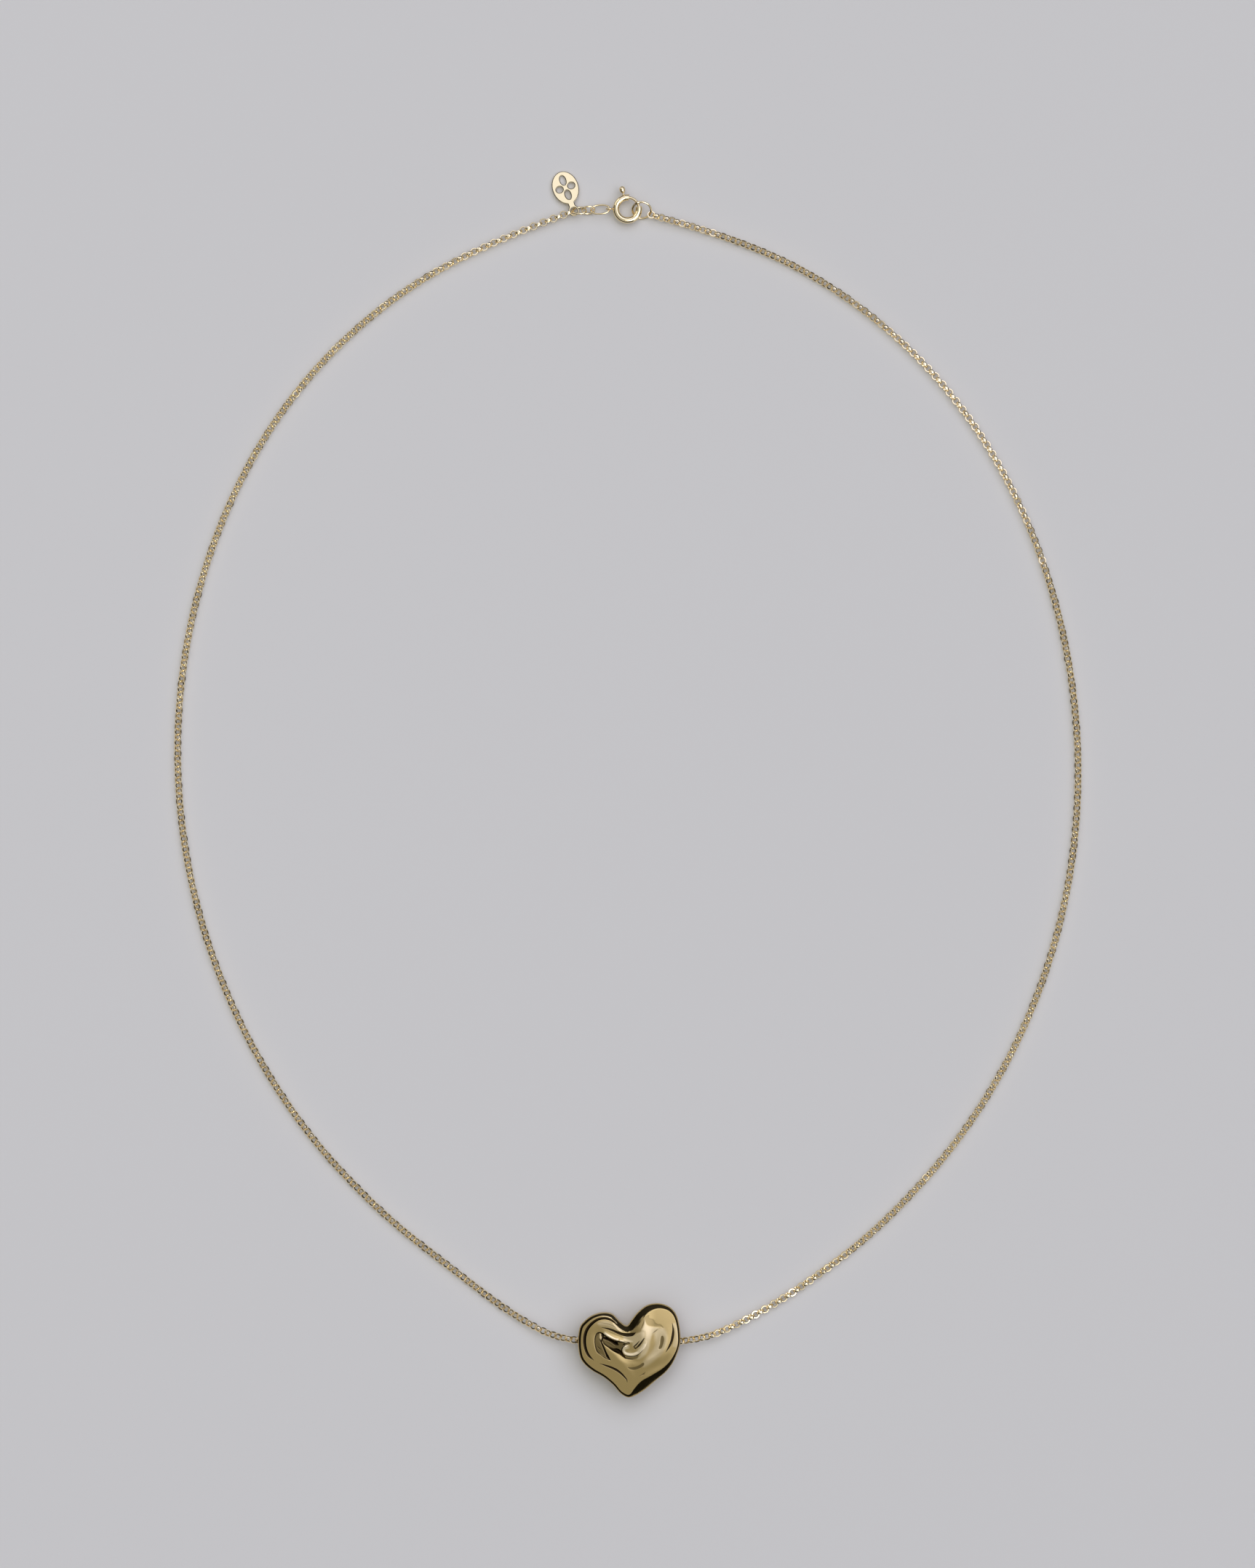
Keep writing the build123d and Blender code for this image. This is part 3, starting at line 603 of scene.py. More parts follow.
def move_points(piece, places):
    """Set the vertices of a mesh."""
    piece.data.vertices.foreach_set("co", places.ravel())
    piece.data.update()


def round_edges(piece, width, segments):
    """Round the sharp edges of a piece."""
    apply_modifier(
        piece,
        "BEVEL",
        width=width,
        segments=segments,
        limit_method="ANGLE",
        angle_limit=SHARP_EDGE,
    )


def finish_piece(piece, body, slot, material, *nodes, sharp=35.0, flat_faces=False):
    """Smooth a piece, give it its metal, hide the imported parts that it replaces and attach it to
    its body. Edges over the sharp angle stay sharp. With flat_faces, its large flat faces stay
    evenly shaded."""
    select_only(piece)
    bpy.ops.object.shade_smooth_by_angle(angle=math.radians(sharp))
    if flat_faces:
        apply_modifier(piece, "WEIGHTED_NORMAL", keep_sharp=True)
    piece.data.materials.clear()
    piece.data.materials.append(material)
    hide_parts(*nodes)
    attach(piece, body)


def add_noise(nodes, links, place, scale, detail):
    """Noise in the metal, with this many patches in a metre."""
    noise = nodes.new("ShaderNodeTexNoise")
    noise.inputs["Scale"].default_value = scale
    noise.inputs["Detail"].default_value = detail
    links.new(place.outputs["Object"], noise.inputs["Vector"])
    return noise


def mix_colours(nodes, links, amount, first, second):
    """Mix of two colours, where the first may be the output of a node."""
    mix = nodes.new("ShaderNodeMix")
    mix.data_type = "RGBA"
    links.new(amount, mix.inputs["Factor"])
    if isinstance(first, bpy.types.NodeSocket):
        links.new(first, mix.inputs["A"])
    else:
        mix.inputs["A"].default_value = (*first, 1.0)
    mix.inputs["B"].default_value = (*second, 1.0)
    return mix.outputs["Result"]


def soft_ramp(nodes, links, value, start, end):
    """From 0 to 1 between a start and an end value, softly."""
    ramp = nodes.new("ShaderNodeMapRange")
    ramp.interpolation_type = "SMOOTHSTEP"
    ramp.inputs["From Min"].default_value = start
    ramp.inputs["From Max"].default_value = end
    links.new(value, ramp.inputs["Value"])
    return ramp.outputs["Result"]


def polished_metal(kind, marks=()):
    """Plated metal with a slow change of tone and fine wear. marks pairs mesh attributes with
    the colours that they bring."""
    name, roughness, grain = METALS[kind]
    if name in bpy.data.materials:
        return bpy.data.materials[name]
    colour = getattr(bpy.context.scene.finish_colours, kind)
    material = bpy.data.materials.new(name)
    material.use_nodes = True
    nodes = material.node_tree.nodes
    links = material.node_tree.links
    shader = nodes["Principled BSDF"]
    shader.inputs["Metallic"].default_value = 1.0
    place = nodes.new("ShaderNodeTexCoord")

    tone = add_noise(nodes, links, place, TONE_PATCHES, detail=3.0)
    tones = [[min(1.0, change * part) for part in colour] for change in TONE_RANGE]
    base = mix_colours(nodes, links, tone.outputs["Fac"], *tones)
    # The heart's marks are its painted shade and painted highlight, mixed into the base colour
    for mark, mark_colour in marks:
        amount = nodes.new("ShaderNodeAttribute")
        amount.attribute_name = mark
        base = mix_colours(nodes, links, amount.outputs["Fac"], base, mark_colour)
    links.new(base, shader.inputs["Base Color"])

    wear = add_noise(nodes, links, place, grain, detail=4.0)
    gloss = nodes.new("ShaderNodeMapRange")
    gloss.inputs["To Min"].default_value = roughness * GLOSS_RANGE[0]
    gloss.inputs["To Max"].default_value = roughness * GLOSS_RANGE[1]
    links.new(wear.outputs["Fac"], gloss.inputs["Value"])
    links.new(gloss.outputs["Result"], shader.inputs["Roughness"])

    bump = nodes.new("ShaderNodeBump")
    bump.inputs["Strength"].default_value = BUMP_STRENGTH
    bump.inputs["Distance"].default_value = BUMP_DEPTH / grain
    links.new(wear.outputs["Fac"], bump.inputs["Height"])
    links.new(bump.outputs["Normal"], shader.inputs["Normal"])
    return material


def edge_station(across):
    """Station of a share of the width. Even stations crowd towards the left and right ends."""
    return np.arccos(1 - 2 * across) / math.pi


def smooth_values(places, values, at):
    """Values at some places on a smooth curve through a column of a table."""
    rows = np.arange(len(places))
    before = np.maximum(rows - 1, 0)
    after = np.minimum(rows + 1, len(places) - 1)
    slopes = (values[after] - values[before]) / (places[after] - places[before])
    k = np.clip(np.searchsorted(places, at) - 1, 0, len(places) - 2)
    span = places[k + 1] - places[k]
    t = (at - places[k]) / span
    from_start = (2 * t**3 - 3 * t**2 + 1) * values[k] + (t**3 - 2 * t**2 + t) * slopes[k] * span
    to_end = (3 * t**2 - 2 * t**3) * values[k + 1] + (t**3 - t**2) * slopes[k + 1] * span
    return from_start + to_end


def heart_loop(sizes, steps=240):
    """Outline of the heart from above, anticlockwise: points and widths of the rounded edge."""
    table = np.array(HEART_OUTLINE)
    places = edge_station(table[:, ACROSS])
    stations = np.linspace(0, 1, steps)
    across = (1 - np.cos(math.pi * stations)) / 2 * sizes.width
    low = np.column_stack([across, smooth_values(places, table[:, BOTTOM], stations)])
    high = np.column_stack([across, smooth_values(places, table[:, TOP], stations)])
    low_round = smooth_values(places, table[:, BOTTOM_ROUND], stations)
    high_round = smooth_values(places, table[:, TOP_ROUND], stations)
    loop = np.vstack([low, high[-2:0:-1]])
    loop[:, 1] *= sizes.height
    rounds = np.concatenate([low_round, high_round[-2:0:-1]]) * sizes.height
    return loop, rounds


def nearest_on_line(points, line):
    """Distance from points to a line of corners, more than 0 on its left, and the place along it."""
    nearest = np.full(len(points), np.inf)
    along = np.zeros(len(points))
    side = np.ones(len(points))
    runs = len(line) - 1
    for i in range(runs):
        run = line[i + 1] - line[i]
        out = points - line[i]
        t = np.clip(out @ run / (run @ run), 0, 1)
        away = np.linalg.norm(out - t[:, None] * run, axis=1)
        closer = away < nearest
        nearest[closer] = away[closer]
        along[closer] = (i + t[closer]) / runs
        side[closer] = np.sign(run[0] * out[closer, 1] - run[1] * out[closer, 0])
    return nearest * side, along


def points_near(points, line, reach):
    """Which points are in the box round a line, grown by a reach."""
    low = line.min(axis=0) - reach
    high = line.max(axis=0) + reach
    return np.flatnonzero(np.all((points > low) & (points < high), axis=1))


def smooth_line(corners):
    """Points of a smooth line through a few corners."""
    corners = np.array(corners)
    rows = np.arange(len(corners), dtype=float)
    at = np.linspace(0, len(corners) - 1, FOLD_STEPS * (len(corners) - 1) + 1)
    return np.column_stack([smooth_values(rows, column, at) for column in corners.T])


def smooth_outline(corners):
    """Points of a smooth closed line through a few corners."""
    round_again = smooth_line(corners[-2:] + corners + corners[:3])
    return round_again[2 * FOLD_STEPS:(len(corners) + 2) * FOLD_STEPS]


def inside_outline(points, outline):
    """Which points are inside a closed line of corners."""
    inside = np.zeros(len(points), dtype=bool)
    for start, end in zip(outline, np.roll(outline, -1, axis=0)):
        crosses = (start[1] > points[:, 1]) != (end[1] > points[:, 1])
        rise = end[1] - start[1] if end[1] != start[1] else 1.0
        meets = start[0] + (points[:, 1] - start[1]) * (end[0] - start[0]) / rise
        inside ^= crosses & (points[:, 0] < meets)
    return inside


def smooth_step(values):
    """Values held between 0 and 1, with a soft start and end."""
    held = np.clip(values, 0, 1)
    return held * held * (3 - 2 * held)


def heart_relief(sizes, points):
    """Rise of the folds over the plain crown, and how much painted shade and painted highlight each
    point gets.
    """
    folds = np.zeros(len(points))
    creases = np.zeros(len(points))
    tarnish = np.zeros(len(points))
    shine = np.zeros(len(points))
    plan = np.array([sizes.width, sizes.height])
    for _, rise, soft, dark, bright, corners in HEART_AREAS:
        outline = smooth_outline(corners) * plan
        border = soft * sizes.width
        near = points_near(points, outline, border)
        away, _ = nearest_on_line(points[near], np.vstack([outline, outline[:1]]))
        inward = np.where(inside_outline(points[near], outline), 1, -1) * abs(away)
        form = smooth_step(inward / border + 0.5)
        folds[near] += rise * sizes.thickness * form
        # Each area sets its painted shade and painted highlight over those below it
        tarnish[near] += (dark - tarnish[near]) * form
        shine[near] += (bright - shine[near]) * form
    for _, left, right, rise, bright, line in HEART_FOLDS:
        corners = smooth_line(line) * plan
        near = points_near(points, corners, max(left, right) * sizes.width)
        away, along = nearest_on_line(points[near], corners)
        reach = np.where(away > 0, left, right) * sizes.width
        across = np.clip(abs(away) / reach, 0, 1)
        taper = np.sin(math.pi * along)
        fade = BROAD_FADE if max(left, right) > BROAD_FOLD else NARROW_FADE
        folds[near] += rise * sizes.thickness * (1 - across**2) ** 3 * taper**fade
        # Painted highlight along the fold, which clears the painted shade under it
        highlight_amount = np.clip((1 - across) / HIGHLIGHT_EDGE, 0, 1) * np.clip(HIGHLIGHT_ENDS * taper, 0, 1)
        highlight_amount *= bright
        shine[near] = np.maximum(shine[near], highlight_amount)
        tarnish[near] *= 1 - highlight_amount
    for _, slope, dark, line in HEART_CREASES:
        corners = smooth_line(line)
        near = points_near(points, corners[:, :2] * plan, corners[:, 2].max() * sizes.width)
        away, along = nearest_on_line(points[near], corners[:, :2] * plan)
        reach = np.interp(along, np.linspace(0, 1, len(corners)), corners[:, 2]) * sizes.width
        soft = CREASE_ROUND * reach
        depth = slope * (np.hypot(reach, soft) - np.hypot(away, soft))
        creases[near] = np.minimum(creases[near], -depth)
        # Painted shade in the crease
        inside = smooth_step((reach - abs(away)) / PAINTED_SHADE_EDGE + PAINTED_SHADE_OVERLAP)
        tarnish[near] = np.maximum(tarnish[near], dark * inside)
    return folds + creases, tarnish, shine


def heart_crown(sizes, points, loop, rounds):
    """Height of the heart's upper side at points in its plan, with their painted shade and painted
    highlight.
    """
    closed = np.vstack([loop, loop[:1]])
    inward, along = nearest_on_line(points, closed)
    inward = abs(inward)
    widths = np.interp(along * len(loop), np.arange(len(loop) + 1), np.append(rounds, rounds[0]))
    rise, tarnish, shine = heart_relief(sizes, points)
    shares = points / np.array([sizes.width, sizes.height])
    off_centre = (2 * shares[:, 0] - 1) ** 2 + (2 * shares[:, 1] - 1) ** 2
    crown = sizes.thickness * (1 - sizes.crown_drop * off_centre) + rise
    wall = sizes.wall_share * sizes.thickness
    shoulder = sizes.shoulder_slope * widths
    to_shoulder = 1 - np.clip(inward / widths, 0, 1)
    to_edge = 1 - np.clip(inward / sizes.edge_round, 0, 1)
    edge = (crown - wall - shoulder) * (1 - np.sqrt(1 - to_edge**2))
    return crown - shoulder * to_shoulder**SHOULDER_CURVE - edge, tarnish, shine


class ModelHeart(bpy.types.Operator):
    """Model the heart bead"""

    bl_idname = "necklace.model_heart"
    bl_label = "Heart Bead"

    def execute(self, context):
        sizes = context.scene.heart_sizes
        steps = sizes.grid_steps
        loop, rounds = heart_loop(sizes)
        middle = np.array(HEART_MIDDLE) * [sizes.width, sizes.height]
        corner = np.array([sizes.centre_x - sizes.width / 2, sizes.centre_y - sizes.height / 2])

        deselect_all()
        bpy.ops.mesh.primitive_grid_add(x_subdivisions=steps, y_subdivisions=steps, size=2)
        heart = named_piece("heart")

        # The square grid is rounded to a disc, and the disc is stretched to the outline
        square = points_of(heart)
        disc_x = square[:, 0] * np.sqrt(1 - square[:, 1] ** 2 / 2)
        disc_y = square[:, 1] * np.sqrt(1 - square[:, 0] ** 2 / 2)
        angles = np.arctan2(disc_y, disc_x)
        radii = np.minimum(np.hypot(disc_x, disc_y), 1)
        radii = 1 - (1 - radii) ** GRID_CROWDING
        out = loop - middle
        loop_angles = np.unwrap(np.arctan2(out[:, 1], out[:, 0]))
        loop_radii = np.linalg.norm(out, axis=1)
        reach = np.interp(
            (angles - loop_angles[0]) % (2 * math.pi),
            np.append(loop_angles - loop_angles[0], 2 * math.pi),
            np.append(loop_radii, loop_radii[0]),
        )
        plan = middle + (radii * reach)[:, None] * np.column_stack([np.cos(angles), np.sin(angles)])
        crown, *_ = heart_crown(sizes, plan, loop, rounds)
        move_points(heart, np.column_stack([plan + corner, crown]))

        # The crown is smoothed, apart from its rim
        bpy.ops.object.mode_set(mode="EDIT")
        bpy.ops.mesh.select_mode(type="VERT")
        bpy.ops.mesh.select_all(action="DESELECT")
        bpy.ops.mesh.select_non_manifold()
        bpy.ops.mesh.select_all(action="INVERT")
        bpy.ops.mesh.vertices_smooth(factor=0.5, repeat=2)

        # The wall draws in a little towards its foot
        wall = sizes.wall_share * sizes.thickness
        bpy.ops.mesh.select_mode(type="EDGE")
        bpy.ops.mesh.select_all(action="DESELECT")
        bpy.ops.mesh.select_non_manifold()
        size_before = 1.0
        for step in range(1, sizes.wall_steps + 1):
            bpy.ops.mesh.extrude_region_move(
                TRANSFORM_OT_translate={"value": (0, 0, -wall / sizes.wall_steps)}
            )
            size_now = 1 - sizes.wall_draft * (step / sizes.wall_steps) ** 2
            change = size_now / size_before
            bpy.ops.transform.resize(
                value=(change, change, 1), center_override=(*(middle + corner), 0)
            )
            size_before = size_now
        bpy.ops.transform.resize(value=(1, 1, 0), center_override=(0, 0, 0))
        bpy.ops.mesh.edge_face_add()
        bpy.ops.mesh.bevel(offset=sizes.foot_round, segments=4, clamp_overlap=False)
        face_outwards()
        bpy.ops.object.mode_set(mode="OBJECT")

        deselect_all()
        bpy.ops.mesh.primitive_cylinder_add(
            vertices=48,
            radius=sizes.bore_diameter / 2,
            depth=sizes.width * BORE_CUTTER,
            location=(sizes.centre_x, sizes.centre_y + sizes.bore_rise, sizes.bore_height),
            rotation=(0, math.pi / 2, 0),
        )
        bore = named_piece("bore")
        apply_place(bore)
        combine(heart, bore, "DIFFERENCE")

        # Painted shade and painted highlight of the crown, kept in the mesh for its colour
        places = points_of(heart)
        low = places[:, 2] < wall
        _, tarnish, shine = heart_crown(sizes, places[:, :2] - corner, loop, rounds)
        for name, values in (("tarnish", tarnish), ("shine", shine)):
            values[low] = 0
            marks = heart.data.attributes.new(name, "FLOAT", "POINT")
            marks.data.foreach_set("value", values.astype(np.float32))

        colours = context.scene.finish_colours
        marks = (("shine", colours.heart_painted_highlight), ("tarnish", colours.heart_painted_shade))
        metal = polished_metal("heart", marks)
        finish_piece(heart, NECKLACE, "heart_metal", metal, "heart_bead", sharp=50.0)
        return {"FINISHED"}


def clasp_levels(sizes):
    """Heights and tilt of the jump ring and the clasp, from the gaps where they cross."""
    ring_radius = (sizes.ring_diameter - sizes.tube_diameter) / 2
    gate_wire = sizes.bore_diameter - 2 * sizes.gate_play
    jump_radius = (sizes.jump_diameter - sizes.jump_wire) / 2
    crossing = (sizes.jump_reach**2 + ring_radius**2 - jump_radius**2) / (2 * sizes.jump_reach)
    aside = math.sqrt(ring_radius**2 - crossing**2)
    under_body = (sizes.tube_diameter + sizes.jump_wire) / 2 + sizes.jump_gap
    over_gate = (gate_wire + sizes.jump_wire) / 2 + sizes.jump_gap
    slope = (under_body + over_gate) / (2 * aside)
    tilt = math.atan(slope)
    jump_z = jump_radius * math.sin(tilt) + sizes.jump_wire / 2 + sizes.floor_gap
    clasp_z = jump_z - aside * slope + under_body
    return ring_radius, gate_wire, tilt, jump_z, clasp_z


def clasp_centre(sizes):
    """Middle of the spring ring."""
    return Vector((sizes.centre_x, sizes.centre_y, clasp_levels(sizes)[-1]))


def direction(angle):
    """Level direction at an angle from +X."""
    return Vector((math.cos(angle), math.sin(angle), 0))


def jump_lie(sizes):
    """Matrix that lays the jump ring in its place."""
    *_, tilt, jump_z, _ = clasp_levels(sizes)
    centre = clasp_centre(sizes) + direction(sizes.jump_angle) * sizes.jump_reach
    centre.z = jump_z
    turned = Matrix.Rotation(sizes.jump_angle, 4, "Z") @ Matrix.Rotation(tilt, 4, "X")
    return Matrix.Translation(centre) @ turned


def loop_reach(sizes):
    """Middle of the soldered loop from the clasp's axis."""
    return sizes.ring_diameter / 2 + sizes.loop_diameter / 2 - sizes.loop_seat


def extender_lies(sizes):
    """Both ends, the length and the roll of each oval link."""
    run = direction(sizes.extender_angle)
    hook = clasp_centre(sizes) + direction(math.pi) * loop_reach(sizes)
    rows = []
    for row, (length_share, play_share, roll) in enumerate(EXTENDER_ROWS):
        near = hook - run * play_share * sizes.link_wire
        far = near + run * length_share * sizes.link_length
        if row == 0:
            far.z -= sizes.extender_drop
        rows.append((near, far, length_share * sizes.link_length, math.radians(roll)))
        hook = far
    return rows


def eyelet_centre(clasp, tag):
    """Middle of the tag's eyelet."""
    last_end = extender_lies(clasp)[-1][1]
    return last_end - direction(clasp.extender_angle) * tag.eyelet_setback


def basis(origin, x_axis, z_axis):
    """Matrix of a place with these x and z axes."""
    y_axis = z_axis.cross(x_axis)
    turned = Matrix((x_axis, y_axis, z_axis)).transposed().to_4x4()
    return Matrix.Translation(origin) @ turned


def add_ring(name, diameter, wire, around, sides, **place):
    """Ring of round wire, by its outer diameter."""
    deselect_all()
    bpy.ops.mesh.primitive_torus_add(
        major_segments=around,
        minor_segments=sides,
        major_radius=(diameter - wire) / 2,
        minor_radius=wire / 2,
        **place,
    )
    return named_piece(name)


def face_outwards():
    """Turn all normals of the mesh in edit mode outwards."""
    bpy.ops.mesh.select_all(action="SELECT")
    bpy.ops.mesh.normals_make_consistent(inside=False)


def flat_face(name, corners):
    """Object of one face, left selected."""
    mesh = bpy.data.meshes.new(name)
    mesh.from_pydata([tuple(corner) for corner in corners], [], [tuple(range(len(corners)))])
    piece = bpy.data.objects.new(name, mesh)
    bpy.context.collection.objects.link(piece)
    select_only(piece)
    return piece


def spun(name, centre, radius, start, arc, profile, steps):
    """Spin a closed profile of (out, up) points about an upright axis, from start over an arc."""
    outwards = direction(start)
    corners = [centre + outwards * (radius + out) + Vector((0, 0, up)) for out, up in profile]
    piece = flat_face(name, corners)
    bpy.ops.object.mode_set(mode="EDIT")
    bpy.ops.mesh.select_all(action="SELECT")
    bpy.ops.mesh.spin(steps=steps, angle=-arc, center=tuple(centre), axis=(0, 0, 1))
    face_outwards()
    bpy.ops.object.mode_set(mode="OBJECT")
    return piece


def circle(radius, sides):
    """Points of a circle round the origin."""
    angles = [2 * math.pi * k / sides for k in range(sides)]
    return [(radius * math.cos(a), radius * math.sin(a)) for a in angles]


class ModelSpringRing(bpy.types.Operator):
    """Model the spring ring's hollow body with its mouth, slot and soldered loop"""

    bl_idname = "necklace.model_spring_ring"
    bl_label = "Spring Ring"

    def execute(self, context):
        sizes = context.scene.clasp_sizes
        ring_radius, *_ = clasp_levels(sizes)
        centre = clasp_centre(sizes)
        tube = sizes.tube_diameter / 2
        arc = 2 * math.pi - (sizes.mouth_end - sizes.mouth_start)
        body = spun(
            "spring_ring_body",
            centre,
            ring_radius,
            sizes.mouth_end,
            arc,
            circle(tube, sides=32),
            steps=96,
        )
        round_edges(body, sizes.rim_round, segments=3)

        bore = spun(
            "spring_ring_bore",
            centre,
            ring_radius,
            sizes.mouth_end - BORE_OVERRUN,
            arc + 2 * BORE_OVERRUN,
            circle(sizes.bore_diameter / 2, sides=24),
            steps=96,
        )
        neck_play = sizes.knob_neck / 2 + sizes.slot_play
        spread = neck_play / ring_radius + sizes.slot_end_play
        slot = spun(
            "spring_ring_slot",
            centre,
            ring_radius,
            sizes.knob_angle - spread,
            sizes.travel + 2 * spread,
            [(0, -neck_play), (2 * tube, -neck_play), (2 * tube, neck_play), (0, neck_play)],
            steps=24,
        )

        loop = add_ring(
            "soldered_loop",
            sizes.loop_diameter,
            sizes.loop_wire,
            around=48,
            sides=16,
            location=centre + direction(math.pi) * loop_reach(sizes),
            rotation=(math.pi / 2, 0, 0),
        )
        apply_place(loop)
        combine(body, loop, "UNION")
        combine(body, bore, "DIFFERENCE")
        combine(body, slot, "DIFFERENCE")

        body.name = "spring_ring_body"
        finish_piece(body, NECKLACE, "clasp_metal", polished_metal("clasp"), "spring_ring")
        return {"FINISHED"}


class ModelGate(bpy.types.Operator):
    """Model the clasp's gate: a bent wire with a knob"""

    bl_idname = "necklace.model_gate"
    bl_label = "Gate"

    def execute(self, context):
        sizes = context.scene.clasp_sizes
        ring_radius, gate_wire, *_ = clasp_levels(sizes)
        centre = clasp_centre(sizes)
        start = sizes.mouth_start - sizes.tip_depth
        arc = sizes.knob_angle + sizes.tail - start
        profile = circle(gate_wire / 2, sides=20)
        wire = spun("gate_wire", centre, ring_radius, start, arc, profile, steps=56)
        round_edges(wire, sizes.tip_round, segments=4)

        outwards = direction(sizes.knob_angle)
        spoke = outwards.to_track_quat("Z", "Y").to_euler()
        neck_length = sizes.knob_reach - ring_radius
        deselect_all()
        bpy.ops.mesh.primitive_cylinder_add(
            vertices=24,
            radius=sizes.knob_neck / 2,
            depth=neck_length,
            location=centre + outwards * (ring_radius + neck_length / 2),
            rotation=spoke,
        )
        neck = named_piece("gate_neck")
        apply_place(neck)

        # The head is a ball, stretched along its spoke and dimpled at its outer end
        deselect_all()
        bpy.ops.mesh.primitive_uv_sphere_add(segments=32, ring_count=24, radius=1)
        head = named_piece("gate_head")
        places = points_of(head)
        off_axis = np.hypot(places[:, 0], places[:, 1])
        outer = places[:, 2] > 0
        places[outer, 2] -= DIMPLE_DEPTH * np.exp(-((off_axis[outer] / DIMPLE_WIDTH) ** 2))
        places *= np.array([sizes.knob_diameter, sizes.knob_diameter, sizes.knob_length]) / 2
        move_points(head, places)
        head.location = centre + outwards * sizes.knob_reach
        head.rotation_euler = spoke
        apply_place(head)
        combine(wire, neck, "UNION")
        combine(wire, head, "UNION")

        wire.name = "gate_and_knob"
        finish_piece(wire, GATE, "clasp_metal", polished_metal("clasp"), "gate")
        return {"FINISHED"}


class ModelJumpRing(bpy.types.Operator):
    """Model the jump ring with its soldered joint"""

    bl_idname = "necklace.model_jump_ring"
    bl_label = "Jump Ring"

    def execute(self, context):
        sizes = context.scene.clasp_sizes
        wire = sizes.jump_wire
        ring = add_ring("jump_ring_soldered", sizes.jump_diameter, wire, around=80, sides=18)

        # Solder swells the wire at the joint
        places = points_of(ring)
        angles = np.arctan2(places[:, 1], places[:, 0])
        off = (angles - sizes.joint_angle + math.pi) % (2 * math.pi) - math.pi
        middles = np.column_stack([np.cos(angles), np.sin(angles), np.zeros(len(angles))])
        middles *= (sizes.jump_diameter - sizes.jump_wire) / 2
        swell = np.exp(-((off / SOLDER_SPREAD) ** 2)) * sizes.joint_bump
        out = (places - middles) / (sizes.jump_wire / 2)
        outer_side = np.sum(out * middles, axis=1) / np.linalg.norm(middles, axis=1)
        places += out * (swell * (1 - SOLDER_LEAN + SOLDER_LEAN * outer_side))[:, None]
        move_points(ring, places)

        ring.matrix_world = jump_lie(sizes)
        apply_place(ring)
        finish_piece(ring, NECKLACE, "clasp_metal", polished_metal("clasp"), "jump_ring")
        return {"FINISHED"}


class ModelExtenderLinks(bpy.types.Operator):
    """Model the oval links between the clasp and the tag"""

    bl_idname = "necklace.model_extender_links"
    bl_label = "Oval Links"

    def execute(self, context):
        sizes = context.scene.clasp_sizes
        for row, (near, far, long, roll) in enumerate(extender_lies(sizes)):
            outer = sizes.link_width + sizes.link_wire
            name = f"oval_link_{row + 1}"
            link = add_ring(name, outer, sizes.link_wire, around=48, sides=14)
            places = points_of(link)
            stretch = np.cos(np.arctan2(places[:, 1], places[:, 0]))
            stretch = np.tanh(OVAL_FULLNESS * stretch) / math.tanh(OVAL_FULLNESS)
            places[:, 0] += (long - sizes.link_width) / 2 * stretch
            move_points(link, places)
            run = (far - near).normalized()
            face_up = run.cross(Vector((0, 0, 1))).cross(run).normalized()
            face_up.rotate(Matrix.Rotation(roll, 3, run))
            link.matrix_world = basis((near + far) / 2, run, face_up)
            apply_place(link)
            metal = polished_metal("clasp")
            finish_piece(link, NECKLACE, "clasp_metal", metal, f"extender_link_{row + 1}")
        return {"FINISHED"}


def flared_plug(name, x, y, half_width, half_height, rings, sides=48):
    """Upright oval cutter through rings of (height, how much wider than the oval)."""
    deselect_all()
    bpy.ops.mesh.primitive_circle_add(
        vertices=sides, radius=1, fill_type="NGON", location=(x, y, rings[0][0])
    )
    plug = named_piece(name)
    plug.scale = (half_width + rings[0][1], half_height + rings[0][1], 1)
    apply_place(plug)
    bpy.ops.object.mode_set(mode="EDIT")
    bpy.ops.mesh.select_all(action="SELECT")
    for (height_before, wider_before), (height, wider) in zip(rings, rings[1:]):
        bpy.ops.mesh.extrude_region_move(
            TRANSFORM_OT_translate={"value": (0, 0, height - height_before)}
        )
        bpy.ops.transform.resize(
            value=(
                (half_width + wider) / (half_width + wider_before),
                (half_height + wider) / (half_height + wider_before),
                1,
            ),
            center_override=(x, y, 0),
        )
    face_outwards()
    bpy.ops.object.mode_set(mode="OBJECT")
    return plug


def tag_outline(sizes, plate_y, steps=180):
    """Outline of the tag round its eyelet, neck and plate, with soft corners between them."""
    eyelet = sizes.eyelet_diameter / 2
    half_height = sizes.height / 2
    bottom, top = -eyelet, plate_y + half_height
    stations = (1 - np.cos(np.linspace(0, math.pi, 4 * steps))) / 2
    up = bottom + (top - bottom) * stations
    collar = np.sqrt(np.clip(eyelet**2 - up**2, 0, None))
    plate = np.sqrt(np.clip(1 - ((up - plate_y) / half_height) ** 2, 0, None)) * sizes.width / 2
    neck = np.where((up > 0) & (up < plate_y), sizes.neck_width / 2, 0)

    # Soft maximum of the three half widths, which ends at 0 where all of them do
    parts = [np.exp(part / TAG_BLEND) for part in (collar, plate, neck)]
    half = TAG_BLEND * np.log(sum(parts) - 2 + 1e-9)
    right = np.column_stack([half, up])
    left = np.column_stack([-half[::-1], up[::-1]])
    loop = np.vstack([right, left])
    steps_along = np.linalg.norm(np.diff(loop, axis=0), axis=1)
    along = np.concatenate([[0], np.cumsum(steps_along)])
    even = np.linspace(0, along[-1], steps, endpoint=False)
    return np.column_stack([np.interp(even, along, column) for column in loop.T])


